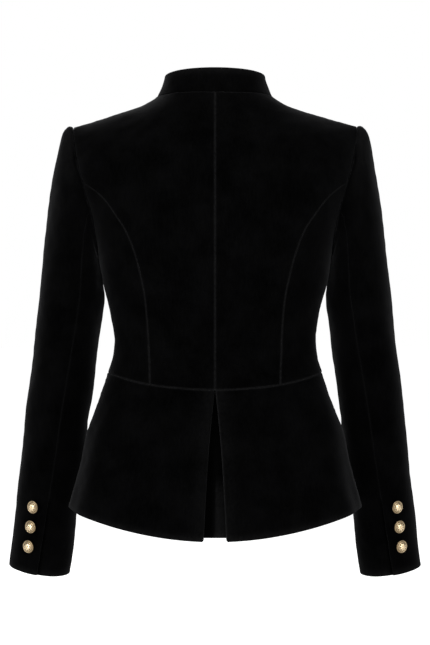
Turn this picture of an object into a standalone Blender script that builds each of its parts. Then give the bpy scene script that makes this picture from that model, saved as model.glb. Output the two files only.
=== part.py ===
"""A trachten jacket of black velvet with a stand collar, a fitted bodice, long sleeves and a
flared peplum with an inverted pleat at the centre back, hollow as if it were worn.

Metres, +Z up. +X is the wearer's left and +Y the wearer's back. The origin is on the centre
plane inside the neck opening, level with the collar seam.
"""

import math
from collections import namedtuple

import bmesh
import bpy
import numpy as np
from mathutils import Vector

# Cloth: how thick it is, and how far each edge stops short of its seam
CLOTH = 0.0020
SLEEVE_CLOTH = 0.0018
COLLAR_CLOTH = 0.0028
EDGE_INSET = 0.0002
SLEEVE_EDGE_INSET = 0.00025
BUTTON_SEAT = 0.0005
COLLAR_SEAT = 0.0005

# Body form: one row for each level, measured from the collar seam. half_width is the reach of the
# side; side_y, back_y and front_y are where the side, the back and the front lie; the powers set
# how square the back and front halves of the section are. Above ARCH_START the section closes
# over the shoulders along a quarter of an ellipse.
Section = namedtuple("Section", "level half_width side_y back_y front_y back_power front_power")
SECTIONS = [
    Section(-0.600, 0.2030, 0.0280, 0.1480, -0.1220, 2.00, 1.65),
    Section(-0.532, 0.1892, 0.0250, 0.1380, -0.1160, 2.00, 1.70),
    Section(-0.499, 0.1803, 0.0220, 0.1300, -0.1110, 2.02, 1.78),
    Section(-0.469, 0.1731, 0.0190, 0.1220, -0.1070, 2.05, 1.86),
    Section(-0.439, 0.1671, 0.0160, 0.1130, -0.1020, 2.08, 1.95),
    Section(-0.407, 0.1556, 0.0125, 0.1030, -0.0960, 2.12, 2.05),
    Section(-0.381, 0.1461, 0.0105, 0.0925, -0.0910, 2.16, 2.12),
    Section(-0.355, 0.1372, 0.0090, 0.0830, -0.0875, 2.18, 2.18),
    Section(-0.335, 0.1320, 0.0085, 0.0770, -0.0860, 2.20, 2.20),
    Section(-0.316, 0.1307, 0.0080, 0.0750, -0.0870, 2.20, 2.20),
    Section(-0.290, 0.1339, 0.0060, 0.0775, -0.0915, 2.24, 2.22),
    Section(-0.264, 0.1393, 0.0040, 0.0830, -0.1000, 2.30, 2.26),
    Section(-0.249, 0.1437, 0.0030, 0.0870, -0.1055, 2.36, 2.30),
    Section(-0.227, 0.1478, 0.0010, 0.0920, -0.1115, 2.44, 2.36),
    Section(-0.205, 0.1515, -0.0020, 0.0960, -0.1135, 2.50, 2.40),
    Section(-0.150, 0.1660, -0.0020, 0.1010, -0.1020, 2.70, 2.50),
    Section(-0.111, 0.1770, -0.0020, 0.1018, -0.0870, 2.70, 2.50),
    Section(-0.082, 0.1830, -0.0020, 0.1020, -0.0730, 2.70, 2.50),
    Section(-0.032, 0.1860, -0.0020, 0.1020, -0.0700, 2.70, 2.50),
    Section(0.086, 0.1900, -0.0020, 0.1020, -0.0700, 2.70, 2.50),
]
ARCH_START = -0.150
ARCH_SCALE = 0.150
TOP_LEVEL = ARCH_START + ARCH_SCALE * math.pi / 2

# Shoulder line: its height at each distance from the centre
Shoulder = namedtuple("Shoulder", "x z")
SHOULDER = [
    Shoulder(0.0000, 0.0350),
    Shoulder(0.0250, 0.0310),
    Shoulder(0.0500, 0.0190),
    Shoulder(0.0650, 0.0080),
    Shoulder(0.0745, 0.0010),
    Shoulder(0.0850, -0.0057),
    Shoulder(0.0970, -0.0118),
    Shoulder(0.1100, -0.0169),
    Shoulder(0.1360, -0.0252),
    Shoulder(0.1620, -0.0326),
    Shoulder(0.1840, -0.0388),
    Shoulder(0.1920, -0.0410),
]

# Armhole: an oval seen from the side, from its top at 0 degrees over the back to its foot at 180
# and up the front. Its distance from the centre is given at each height.
ARMHOLE_MIDDLE_Z = -0.1219
ARMHOLE_HALF_HEIGHT = 0.0831
Reach = namedtuple("Reach", "z x")
ARMHOLE_BACK = [
    Reach(-0.2050, 0.1515),
    Reach(-0.1970, 0.1517),
    Reach(-0.1708, 0.1549),
    Reach(-0.1514, 0.1583),
    Reach(-0.1365, 0.1627),
    Reach(-0.1220, 0.1670),
    Reach(-0.1120, 0.1694),
    Reach(-0.0989, 0.1735),
    Reach(-0.0843, 0.1775),
    Reach(-0.0612, 0.1816),
    Reach(-0.0456, 0.1839),
    Reach(-0.0388, 0.1840),
]
ARMHOLE_FRONT = [
    Reach(-0.2050, 0.1515),
    Reach(-0.1900, 0.1520),
    Reach(-0.1500, 0.1550),
    Reach(-0.1134, 0.1635),
    Reach(-0.0975, 0.1690),
    Reach(-0.0710, 0.1770),
    Reach(-0.0388, 0.1840),
]
BACK_JOINT_DEG = 84.3
FRONT_JOINT_DEG = 270.0

# Princess seams: their distance from the centre at each height, up to the armhole
PRINCESS_BACK = [
    Reach(-0.3900, 0.0824),
    Reach(-0.3717, 0.0828),
    Reach(-0.3380, 0.0838),
    Reach(-0.2960, 0.0863),
    Reach(-0.2590, 0.0896),
    Reach(-0.2305, 0.0950),
    Reach(-0.2030, 0.1025),
    Reach(-0.1750, 0.1139),
    Reach(-0.1540, 0.1276),
    Reach(-0.1350, 0.1424),
    Reach(-0.1210, 0.1584),
]
PRINCESS_FRONT = [
    Reach(-0.3900, 0.0690),
    Reach(-0.3680, 0.0700),
    Reach(-0.3300, 0.0740),
    Reach(-0.2900, 0.0820),
    Reach(-0.2400, 0.0910),
    Reach(-0.2000, 0.0980),
    Reach(-0.1700, 0.1120),
    Reach(-0.1450, 0.1340),
    Reach(-0.1280, 0.1540),
]

# Neckline, waist seam and hem
NECK_HALF_WIDTH = 0.0745
NECK_SIDE_Z = 0.0010
NECK_BACK_RISE = 0.0006
NECK_FRONT_DROP = 0.0730
WAIST_SIDE_Z = -0.3575
WAIST_BACK_DIP = 0.0200
WAIST_FRONT_DIP = 0.0107
HEM_SIDE_Z = -0.5305
HEM_BACK_DIP = 0.0322

# Stand collar: its top edge, how it leans in, and its rounded front corners
COLLAR_TOP_HALF_WIDTH = 0.0650
COLLAR_TOP_SIDE_Z = 0.0269
COLLAR_TOP_BACK_RISE = 0.0057
COLLAR_TOP_FRONT_DROP = 0.0679
COLLAR_TOP_Y = -0.0020
COLLAR_TOP_BACK_REACH = 0.0545
COLLAR_TOP_FRONT_REACH = 0.0535
COLLAR_LEAN_POWER = 1.5
COLLAR_HALF_OPENING = 0.0030
COLLAR_CORNER = 0.0140

# Front closure: the right front laps over the left, which is sunk under it
LAP = 0.0180
SUNK = CLOTH + 0.0010
SINK_START = 0.0200
SINK_END = 0.0320

# Inverted pleat: where each fold's edge lies from the centre, and how far the return runs back
# from that edge, at each height
Pleat = namedtuple("Pleat", "z edge_x return_width")
PLEAT = [
    Pleat(-0.570, 0.0147, 0.0350),
    Pleat(-0.563, 0.0142, 0.0340),
    Pleat(-0.519, 0.0119, 0.0285),
    Pleat(-0.462, 0.0085, 0.0210),
    Pleat(-0.419, 0.0048, 0.0150),
    Pleat(-0.381, 0.0008, 0.0100),
]
FOLD_RADIUS = 0.0026
RETURN_HEM_RISE = 0.0030
UNDERLAY_GAP = 0.0005
UNDERLAY_BELLY = 0.0025
UNDERLAY_HEM_RISE = 0.0041

# Soft flutes of the peplum: where round the body they lie, how wide and how high they are
Flute = namedtuple("Flute", "degrees width_degrees height")
FLUTES = [
    Flute(33, 9, -0.0012),
    Flute(59, 9, 0.0030),
    Flute(76, 8, -0.0016),
    Flute(106, 9, 0.0018),
    Flute(128, 10, -0.0014),
    Flute(149, 9, 0.0022),
]

# Sleeve: one row for each ring. The outer and inner points are its two ends seen from the back,
# hindarm_deg is where the back seam lies round it, and back_drop lowers the back of the ring.
Ring = namedtuple("Ring", "outer_x outer_z inner_x inner_z middle_y half_depth back_drop hindarm_deg")
RINGS = [
    Ring(0.1844, -0.0388, 0.1519, -0.2050, -0.0020, 0.0500, 0.0000, 112.0),
    Ring(0.1890, -0.0378, 0.1530, -0.2060, -0.0015, 0.0530, 0.0000, 112.0),
    Ring(0.1957, -0.0433, 0.1534, -0.2075, -0.0015, 0.0555, 0.0000, 112.5),
    Ring(0.2006, -0.0563, 0.1527, -0.2100, -0.0020, 0.0570, 0.0000, 113.5),
    Ring(0.2062, -0.0823, 0.1516, -0.2145, -0.0035, 0.0585, 0.0000, 114.5),
    Ring(0.2120, -0.1130, 0.1501, -0.2210, -0.0060, 0.0590, 0.0000, 114.0),
    Ring(0.2178, -0.1500, 0.1482, -0.2300, -0.0105, 0.0590, 0.0000, 112.0),
    Ring(0.2227, -0.1860, 0.1458, -0.2420, -0.0160, 0.0585, 0.0000, 109.5),
    Ring(0.2272, -0.2280, 0.1429, -0.2580, -0.0215, 0.0575, 0.0000, 107.0),
    Ring(0.2317, -0.2720, 0.1473, -0.2900, -0.0240, 0.0560, 0.0000, 106.5),
    Ring(0.2378, -0.3250, 0.1543, -0.3370, -0.0260, 0.0540, 0.0000, 105.3),
    Ring(0.2452, -0.3850, 0.1622, -0.3940, -0.0290, 0.0510, 0.0000, 101.7),
    Ring(0.2519, -0.4450, 0.1701, -0.4550, -0.0340, 0.0480, 0.0003, 98.8),
    Ring(0.2590, -0.5050, 0.1781, -0.5160, -0.0410, 0.0450, 0.0012, 95.7),
    Ring(0.2659, -0.5600, 0.1853, -0.5710, -0.0490, 0.0425, 0.0028, 92.8),
    Ring(0.2725, -0.6130, 0.1925, -0.6250, -0.0570, 0.0405, 0.0050, 89.0),
]
SLEEVE_CLEARANCE = 0.0004
CAP_BLEND = 0.045

# Cuff vent: the upper sleeve is doubled along its back seam, with three buttons
VENT_LENGTH = 0.100
VENT_RAISE = 0.0012
VENT_RAMP = 0.004
VENT_FLAT = 0.010
VENT_WIDTH = 0.026
CUFF_BUTTON_DEG = 70.6
CUFF_BUTTON_TILT_DEG = 12.0
CUFF_BUTTON_FROM_HEM = 0.0360
CUFF_BUTTON_STEP = 0.0255
CUFF_BUTTONS = 3

# Front buttons, on the centre line
FRONT_BUTTON_TOP_Z = -0.090
FRONT_BUTTON_STEP = 0.052
FRONT_BUTTONS = 6

# Button: a turned dome with a rim, on a short shank
ButtonPoint = namedtuple("ButtonPoint", "radius height")
BUTTON = [
    ButtonPoint(0.0000, 0.0000),
    ButtonPoint(0.0025, 0.0000),
    ButtonPoint(0.0025, 0.0020),
    ButtonPoint(0.0083, 0.0024),
    ButtonPoint(0.0085, 0.0036),
    ButtonPoint(0.0066, 0.0046),
    ButtonPoint(0.0036, 0.0060),
    ButtonPoint(0.0000, 0.0065),
]
BUTTON_SEGMENTS = 12

# Mesh: how many steps each panel takes
PRINCESS_ROWS = 12
SHOULDER_ROWS = 5
UNDERARM_COLUMNS = 7
FRONT_UNDERARM_COLUMNS = 6
BACK_NECK_COLUMNS = 5
FRONT_NECK_COLUMNS = 8
LAP_COLUMNS = 2
PEPLUM_ROWS = 8
PEPLUM_BACK_COLUMNS = 10
PEPLUM_FRONT_COLUMNS = 7
FOLD_STEPS = 4
UNDERLAY_COLUMNS = 6
COLLAR_ROWS = 4
COLLAR_COLUMNS = 13
COLLAR_CORNER_COLUMNS = 5
SEAM_SAMPLES = 200
FOOT_TRIES = 20
SURFACE_STEP = 1e-4
CLOTH_SHARP_DEG = 40
BUTTON_SHARP_DEG = 35

VELVET = ((0.010, 0.010, 0.011), 0.85, 0.0)
GOLD = ((0.62, 0.45, 0.17), 0.32, 1.0)


def smooth_curve(places, values):
    """A curve through the points that never overshoots them: a monotone cubic."""
    places = np.array(places, float)
    values = np.array(values, float)
    steps = np.diff(places)
    slopes = np.diff(values) / steps
    tangents = np.empty_like(places)
    tangents[0] = slopes[0]
    tangents[-1] = slopes[-1]
    for i in range(1, len(places) - 1):
        before, after = slopes[i - 1], slopes[i]
        if before * after <= 0:
            tangents[i] = 0
            continue
        near = 2 * steps[i] + steps[i - 1]
        far = steps[i] + 2 * steps[i - 1]
        tangents[i] = (near + far) / (near / before + far / after)

    def curve(place):
        place = np.clip(place, places[0], places[-1])
        i = np.clip(np.searchsorted(places, place, side="right") - 1, 0, len(steps) - 1)
        t = (place - places[i]) / steps[i]
        return (
            values[i] * (1 + 2 * t) * (1 - t) ** 2
            + values[i + 1] * t * t * (3 - 2 * t)
            + steps[i] * t * (1 - t) * (tangents[i] * (1 - t) - tangents[i + 1] * t)
        )

    return curve


def column(rows, key, value):
    return smooth_curve([getattr(row, key) for row in rows], [getattr(row, value) for row in rows])


def ease(t):
    t = np.clip(t, 0, 1)
    return t * t * (3 - 2 * t)


half_width = column(SECTIONS, "level", "half_width")
side_y = column(SECTIONS, "level", "side_y")
back_y = column(SECTIONS, "level", "back_y")
front_y = column(SECTIONS, "level", "front_y")
back_power = column(SECTIONS, "level", "back_power")
front_power = column(SECTIONS, "level", "front_power")
shoulder_z = column(SHOULDER, "x", "z")
armhole_back_x = column(ARMHOLE_BACK, "z", "x")
armhole_front_x = column(ARMHOLE_FRONT, "z", "x")
pleat_edge = column(PLEAT, "z", "edge_x")
return_width = column(PLEAT, "z", "return_width")


# The body's surface. An angle of 0 is the centre back, 90 degrees the left side, 180 the centre front.


def body_point(angle, level):
    """A point of the outer surface."""
    angle, level = np.broadcast_arrays(np.asarray(angle, float), np.asarray(level, float))
    sine, cosine = np.sin(angle), np.cos(angle)
    power = np.where(cosine >= 0, back_power(level), front_power(level))
    far_y = np.where(cosine >= 0, back_y(level), front_y(level))
    arch = np.clip((level - ARCH_START) / ARCH_SCALE, 0, None)
    x = half_width(level) * np.sign(sine) * np.abs(sine) ** (2 / power)
    bulge = np.abs(cosine) ** (2 / power) * np.cos(arch)
    y = side_y(level) + (far_y - side_y(level)) * bulge
    crown = ARCH_START + (shoulder_z(np.abs(x)) - ARCH_START) * np.sin(arch)
    z = np.where(arch > 0, crown, level)
    return np.stack([x, y, z], axis=-1)


def unit(vectors):
    return vectors / np.linalg.norm(vectors, axis=-1, keepdims=True)


def body_normal(angle, level):
    """The direction straight out of the outer surface."""
    step = SURFACE_STEP
    above = np.minimum(level + step, TOP_LEVEL)
    around = body_point(angle + step, level) - body_point(angle - step, level)
    up = body_point(angle, above) - body_point(angle, above - 2 * step)
    return unit(np.cross(up, around))


def level_at(z, x):
    """The level of the surface at this height and distance from the centre."""
    z = np.asarray(z, float)
    rise = (z - ARCH_START) / (shoulder_z(np.abs(x)) - ARCH_START)
    return np.where(z > ARCH_START, ARCH_START + ARCH_SCALE * np.arcsin(np.clip(rise, 0, 1)), z)


def angle_at(x, level, front=False):
    """The angle of the surface at this distance from the centre."""
    power = front_power(level) if front else back_power(level)
    share = np.clip(np.abs(x) / half_width(level), 0, 1) ** (power / 2)
    angle = np.sign(x) * np.arcsin(share)
    return np.pi - angle if front else angle


def waist_z(angle):
    dip = np.where(np.cos(angle) >= 0, WAIST_BACK_DIP, WAIST_FRONT_DIP)
    return WAIST_SIDE_Z - dip * np.cos(angle) ** 2


def hem_z(angle):
    dip = np.where(np.cos(angle) >= 0, HEM_BACK_DIP, 0)
    return HEM_SIDE_Z - dip * np.cos(angle) ** 2


# Seam lines, as rows of angle and level


def on_body(x, z, front=False):
    """The angle and level of each point x, z."""
    level = level_at(z, x)
    return np.stack([angle_at(x, level, front), level], axis=-1)


def evenly(points, count):
    """The same line again, at evenly spaced points."""
    length = np.concatenate([[0], np.cumsum(np.linalg.norm(np.diff(points, axis=0), axis=1))])
    wanted = np.linspace(0, length[-1], count)
    return np.stack([np.interp(wanted, length, points[:, i]) for i in range(points.shape[1])], axis=-1)


def armhole_xz(degrees):
    degrees = np.asarray(degrees, float)
    z = ARMHOLE_MIDDLE_Z + ARMHOLE_HALF_HEIGHT * np.cos(np.radians(degrees))
    return np.where(degrees <= 180, armhole_back_x(z), armhole_front_x(z)), z


def armhole_line(degrees, front):
    """A stretch of the armhole, all of it on the back or all of it on the front."""
    x, z = armhole_xz(degrees)
    return on_body(x, z, front)


def princess_line(table, joint_deg, front):
    """A princess seam from the waist seam up to the armhole."""
    joint_x, joint_z = (float(value) for value in armhole_xz(joint_deg))
    rows = [*table, Reach(joint_z, joint_x)]
    reach = column(rows, "z", "x")
    foot = WAIST_SIDE_Z
    for _ in range(FOOT_TRIES):
        foot = float(waist_z(angle_at(reach(foot), foot, front)))
    z = np.linspace(foot, joint_z, SEAM_SAMPLES)
    even = evenly(np.stack([reach(z), z], axis=-1), PRINCESS_ROWS)
    return on_body(even[:, 0], even[:, 1], front)


def neck_x_z(degrees, front):
    """The neckline, from the centre at 0 degrees to the shoulder at 90."""
    turn = np.radians(degrees)
    x = NECK_HALF_WIDTH * np.sin(turn)
    if front:
        return x, NECK_SIDE_Z - NECK_FRONT_DROP * np.cos(turn) ** 2
    return x, NECK_SIDE_Z + NECK_BACK_RISE * np.cos(turn)


def neck_and_shoulder_line(first_degrees, columns, front):
    """The top edge of a panel: along the neckline, then along the shoulder seam to the armhole."""
    neck = on_body(*neck_x_z(np.linspace(first_degrees, 90, columns + 1), front), front)
    neck[-1, 1] = TOP_LEVEL
    end_x = float(armhole_xz(0)[0])
    x = np.linspace(NECK_HALF_WIDTH, end_x, SHOULDER_ROWS + 1)[1:]
    shoulder = np.stack([angle_at(x, TOP_LEVEL, front), np.full(len(x), TOP_LEVEL)], axis=-1)
    return np.concatenate([neck, shoulder])


def waist_line(first_angle, last_angle, count):
    angle = np.linspace(first_angle, last_angle, count)
    return np.stack([angle, waist_z(angle)], axis=-1)


def coons(bottom, top, left, right):
    """A grid that fills four edges: bottom and top run left to right, left and right run up."""
    u = np.linspace(0, 1, len(bottom))[None, :, None]
    v = np.linspace(0, 1, len(left))[:, None, None]
    across = (1 - v) * bottom[None] + v * top[None]
    along = (1 - u) * left[:, None] + u * right[:, None]
    corners = (
        (1 - v) * ((1 - u) * bottom[0] + u * bottom[-1])
        + v * ((1 - u) * top[0] + u * top[-1])
    )
    return across + along - corners


def seen(line):
    """The line's x and z, as it looks from behind or in front."""
    return body_point(line[:, 0], line[:, 1])[:, [0, 2]]


def upright_panel(bottom, top, left, right, front=False):
    """The angles and levels of a back or front panel, spaced evenly as it is seen."""
    grid = coons(*(seen(line) for line in (bottom, top, left, right)))
    return on_body(grid[..., 0], grid[..., 1], front)


# Making pieces


def material(name, look):
    color, roughness, metallic = look
    made = bpy.data.materials.new(name)
    made.use_nodes = True
    shader = made.node_tree.nodes["Principled BSDF"]
    shader.inputs["Base Color"].default_value = (*color, 1)
    shader.inputs["Roughness"].default_value = roughness
    shader.inputs["Metallic"].default_value = metallic
    made.diffuse_color = (*color, 1)
    return made


def add_object(name, mesh, look, parent):
    made = bpy.data.objects.new(name, mesh)
    if not mesh.materials:
        mesh.materials.append(material(name, look))
    made.parent = parent
    bpy.context.scene.collection.objects.link(made)
    return made


def drawn_in(grid, amount):
    """The grid with its four edges moved inwards."""
    drawn = grid.copy()
    drawn[0] += unit(grid[1] - grid[0]) * amount
    drawn[-1] += unit(grid[-2] - grid[-1]) * amount
    drawn[:, 0] += unit(grid[:, 1] - grid[:, 0]) * amount
    drawn[:, -1] += unit(grid[:, -2] - grid[:, -1]) * amount
    return drawn


def wall(name, outer, inner, parent):
    """One closed piece of cloth between an outer and an inner grid of points."""
    rows, columns = outer.shape[:2]
    mesh = bmesh.new()
    skins = []
    for grid in (outer, inner):
        verts = [[mesh.verts.new(point) for point in row] for row in grid]
        for r in range(rows - 1):
            for c in range(columns - 1):
                mesh.faces.new((verts[r][c], verts[r][c + 1], verts[r + 1][c + 1], verts[r + 1][c]))
        skins.append(verts)
    rim = [(0, c) for c in range(columns - 1)]
    rim += [(r, columns - 1) for r in range(rows - 1)]
    rim += [(rows - 1, c) for c in range(columns - 1, 0, -1)]
    rim += [(r, 0) for r in range(rows - 1, 0, -1)]
    for (r0, c0), (r1, c1) in zip(rim, rim[1:] + rim[:1]):
        mesh.faces.new((skins[0][r0][c0], skins[0][r1][c1], skins[1][r1][c1], skins[1][r0][c0]))
    bmesh.ops.recalc_face_normals(mesh, faces=mesh.faces)
    data = bpy.data.meshes.new(name)
    mesh.to_mesh(data)
    mesh.free()
    data.shade_smooth()
    data.set_sharp_from_angle(angle=math.radians(CLOTH_SHARP_DEG))
    return add_object(name, data, VELVET, parent)


def mirrored(grid):
    return grid * np.array([-1, 1, 1])


def pair(name, outer, inner, parent):
    """A left piece and its mirror image on the right."""
    wall(name + "_left", outer, inner, parent)
    wall(name + "_right", mirrored(outer), mirrored(inner), parent)


def body_wall(domain, sink=None):
    """The outer and inner grids of a panel of the body, given by its angles and levels."""
    angle, level = domain[..., 0], domain[..., 1]
    normal = body_normal(angle, level)
    outer = body_point(angle, level) + normal * flute_height(angle, level)[..., None]
    if sink is not None:
        outer = outer - normal * sink(outer[..., 0])[..., None]
    return drawn_in(outer, EDGE_INSET), drawn_in(outer - normal * CLOTH, EDGE_INSET)


def flute_height(angle, level):
    """How far the peplum's soft flutes stand out, growing from the waist seam to the hem."""
    top, hem = waist_z(angle), hem_z(angle)
    grown = ease((top - level) / (top - hem))
    degrees = np.degrees(angle)
    height = np.zeros(np.shape(degrees))
    for flute in FLUTES:
        away = (np.abs(degrees) - flute.degrees) / flute.width_degrees
        height = height + flute.height * np.exp(-away * away)
    return np.where(level < top, height * grown, 0)


def sunk_under_lap(x):
    """How deep the left front lies, under the lap of the right front."""
    return SUNK * ease((SINK_END - x) / (SINK_END - SINK_START))


# Bodice


def back_panels(parent):
    princess = princess_line(PRINCESS_BACK, BACK_JOINT_DEG, False)
    armhole = armhole_line(np.linspace(BACK_JOINT_DEG, 0, SHOULDER_ROWS + 1), False)
    armhole[-1, 1] = TOP_LEVEL
    right = np.concatenate([princess, armhole[1:]])
    top = neck_and_shoulder_line(0, BACK_NECK_COLUMNS, False)
    bottom = waist_line(0, princess[0, 0], len(top))
    left = np.stack([np.zeros(len(right)), np.linspace(bottom[0, 1], top[0, 1], len(right))], axis=-1)
    pair("back", *body_wall(upright_panel(bottom, top, left, right)), parent)

    side_top = armhole_line(np.linspace(BACK_JOINT_DEG, 180, UNDERARM_COLUMNS + 1), False)
    side_bottom = waist_line(princess[0, 0], np.pi / 2, UNDERARM_COLUMNS + 1)
    pair("side_back", *body_wall(coons(side_bottom, side_top, princess, side_seam())), parent)


def side_seam():
    level = np.linspace(WAIST_SIDE_Z, ARMHOLE_MIDDLE_Z - ARMHOLE_HALF_HEIGHT, PRINCESS_ROWS)
    return np.stack([np.full(len(level), np.pi / 2), level], axis=-1)


def front_panels(parent):
    princess = princess_line(PRINCESS_FRONT, FRONT_JOINT_DEG, True)
    armhole = armhole_line(np.linspace(FRONT_JOINT_DEG, 360, SHOULDER_ROWS + 1), True)
    armhole[-1, 1] = TOP_LEVEL
    outer_side = np.concatenate([princess, armhole[1:]])
    lap_deg = math.degrees(math.asin(LAP / NECK_HALF_WIDTH))
    top = neck_and_shoulder_line(-lap_deg, FRONT_NECK_COLUMNS + LAP_COLUMNS, True)
    foot_angle = float(angle_at(-LAP, waist_z(np.pi), True))
    bottom = waist_line(foot_angle, princess[0, 0], len(top))
    level = np.linspace(bottom[0, 1], top[0, 1], len(outer_side))
    edge = np.stack([angle_at(np.full(len(level), -LAP), level, True), level], axis=-1)
    domain = upright_panel(bottom, top, edge, outer_side, True)
    wall("front_left", *body_wall(domain, sunk_under_lap), parent)
    outer, inner = body_wall(domain)
    wall("front_right", mirrored(outer), mirrored(inner), parent)

    side_top = armhole_line(np.linspace(FRONT_JOINT_DEG, 180, FRONT_UNDERARM_COLUMNS + 1), True)
    side_bottom = waist_line(princess[0, 0], np.pi / 2, FRONT_UNDERARM_COLUMNS + 1)
    pair("side_front", *body_wall(coons(side_bottom, side_top, princess, side_seam())), parent)


# Peplum


def level_rows(top, hem):
    return top + (hem - top) * np.linspace(0, 1, PEPLUM_ROWS + 1)


def at_depth(x, level, depth):
    """A point behind the back's outer surface, and the flute there left out."""
    angle = angle_at(x, level)
    return body_point(angle, level) - body_normal(angle, level) * np.asarray(depth)[..., None]


def fold_column(turned, reach, across, depth):
    """One line of the pleat, down the peplum. It is turned in by 0 on the face and by 1 on the
    return, and lies at this share of the return's width. Across is how far it is from the fold's
    edge, and depth how far behind the back's outer surface."""
    level = level_rows(float(waist_z(0.0)), float(hem_z(0.0)) + RETURN_HEM_RISE * turned)
    x = pleat_edge(level) + across + reach * (return_width(level) - FOLD_RADIUS)
    return at_depth(x, level, np.full(len(level), depth))


def peplum_back(parent):
    outer, inner = [], []
    for reach in (1.0, 0.5):
        outer.append(fold_column(1, reach, FOLD_RADIUS, 2 * FOLD_RADIUS))
        inner.append(fold_column(1, reach, FOLD_RADIUS, 2 * FOLD_RADIUS - CLOTH))
    for turn in np.linspace(0, math.pi, FOLD_STEPS + 1):
        turned = (1 + math.cos(turn)) / 2
        for grid, radius in ((outer, FOLD_RADIUS), (inner, FOLD_RADIUS - CLOTH)):
            across = FOLD_RADIUS - radius * math.sin(turn)
            depth = FOLD_RADIUS + radius * math.cos(turn)
            grid.append(fold_column(turned, 0, across, depth))
    level = level_rows(float(waist_z(0.0)), float(hem_z(0.0)))
    first = angle_at(pleat_edge(level) + FOLD_RADIUS, level)
    down = np.linspace(0, 1, PEPLUM_ROWS + 1)
    for share in np.linspace(0, 1, PEPLUM_BACK_COLUMNS + 1)[1:]:
        angle = first + (np.pi / 2 - first) * share
        level_here = waist_z(angle) + (hem_z(angle) - waist_z(angle)) * down
        normal = body_normal(angle, level_here)
        point = body_point(angle, level_here) + normal * flute_height(angle, level_here)[:, None]
        outer.append(point)
        inner.append(point - normal * CLOTH)
    outer = drawn_in(np.stack(outer, axis=1), EDGE_INSET)
    inner = drawn_in(np.stack(inner, axis=1), EDGE_INSET)
    pair("peplum_back", outer, inner, parent)


def pleat_underlay(parent):
    depth = 2 * FOLD_RADIUS + UNDERLAY_GAP
    level = level_rows(float(waist_z(0.0)), float(hem_z(0.0)) + UNDERLAY_HEM_RISE)
    grown = np.linspace(0, 1, len(level))
    outer, inner = [], []
    for share in np.linspace(-1, 1, UNDERLAY_COLUMNS + 1):
        x = share * (pleat_edge(level) + return_width(level))
        belly = UNDERLAY_BELLY * grown * (1 - share * share)
        outer.append(at_depth(x, level, depth + belly))
        inner.append(at_depth(x, level, depth + belly + CLOTH))
    outer = drawn_in(np.stack(outer, axis=1), EDGE_INSET)
    inner = drawn_in(np.stack(inner, axis=1), EDGE_INSET)
    wall("pleat_underlay", outer, inner, parent)


def peplum_front(parent):
    rows = []
    for share in np.linspace(0, 1, PEPLUM_ROWS + 1):
        level = waist_z(np.pi) + (hem_z(np.pi) - waist_z(np.pi)) * share
        near_lap = angle_at(np.array([SINK_END, SINK_START, 0.0, -LAP]), level, True)
        to_lap = np.linspace(np.pi / 2, near_lap[0], PEPLUM_FRONT_COLUMNS + 1)
        angle = np.concatenate([to_lap, near_lap[1:]])
        rows.append(np.stack([angle, waist_z(angle) + (hem_z(angle) - waist_z(angle)) * share], axis=-1))
    domain = np.stack(rows)
    wall("peplum_front_left", *body_wall(domain, sunk_under_lap), parent)
    outer, inner = body_wall(domain)
    wall("peplum_front_right", mirrored(outer), mirrored(inner), parent)


# Collar


def neck_ring(degrees):
    """A point of the neckline, from the centre back at 0 degrees round to the centre front at 180."""
    degrees = np.asarray(degrees, float)
    back_x, back_z = neck_x_z(degrees, False)
    front_x, front_z = neck_x_z(180 - degrees, True)
    back = body_point(*np.moveaxis(on_body(back_x, back_z, False), -1, 0))
    front = body_point(*np.moveaxis(on_body(front_x, front_z, True), -1, 0))
    return np.where((degrees <= 90)[..., None], back, front)


def collar_point(degrees, share):
    """A point of the collar's outer side. The share is 0 at the seam and 1 at the top edge."""
    turn = np.radians(degrees)
    cosine = np.cos(turn)
    foot = neck_ring(degrees)
    at_back = cosine >= 0
    top_x = COLLAR_TOP_HALF_WIDTH * np.sin(turn)
    top_y = COLLAR_TOP_Y + np.where(at_back, COLLAR_TOP_BACK_REACH, COLLAR_TOP_FRONT_REACH) * cosine
    rise = np.where(at_back, COLLAR_TOP_BACK_RISE * cosine, -COLLAR_TOP_FRONT_DROP * cosine**2)
    top_z = COLLAR_TOP_SIDE_Z + rise
    top = np.stack([top_x, top_y, top_z], axis=-1)
    lean = 1 - np.clip(1 - share, 0, 1) ** COLLAR_LEAN_POWER
    blend = np.stack([lean, lean, share], axis=-1)
    return foot + (top - foot) * blend


def collar(parent):
    """One band all round the neck, open at the centre front."""
    end_deg = 180 - math.degrees(math.asin(COLLAR_HALF_OPENING / NECK_HALF_WIDTH))
    corner_deg = math.degrees(COLLAR_CORNER / COLLAR_TOP_HALF_WIDTH)
    near_end = corner_deg * (1 - np.cos(np.linspace(0, math.pi / 2, COLLAR_CORNER_COLUMNS + 1)))
    to_corner = np.linspace(0, end_deg - corner_deg, COLLAR_COLUMNS + 1)
    half = np.concatenate([to_corner[:-1], (end_deg - near_end)[::-1]])
    full_height = COLLAR_TOP_SIDE_Z - NECK_SIDE_Z
    from_corner = np.clip((end_deg - half) / corner_deg, 0, 1)
    drop = COLLAR_CORNER * (1 - np.sqrt(1 - (1 - from_corner) ** 2)) / full_height
    share = np.linspace(0, 1, COLLAR_ROWS + 1)[:, None] * (1 - drop)[None]
    degrees = np.broadcast_to(half, share.shape)
    outer = collar_point(degrees, share)
    step = SURFACE_STEP
    around = collar_point(degrees + step, share) - collar_point(degrees - step, share)
    above = np.minimum(share + step, 1)
    up = collar_point(degrees, above) - collar_point(degrees, above - 2 * step)
    normal = np.cross(up, around)
    normal[0, :, 2] = 0
    normal = unit(normal)
    seat = np.array([0, 0, COLLAR_SEAT])
    grids = []
    for grid in (outer + seat, outer + seat - normal * COLLAR_CLOTH):
        grids.append(np.concatenate([mirrored(grid[:, :0:-1]), grid], axis=1))
    wall("collar", *grids, parent)


# Sleeves


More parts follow.
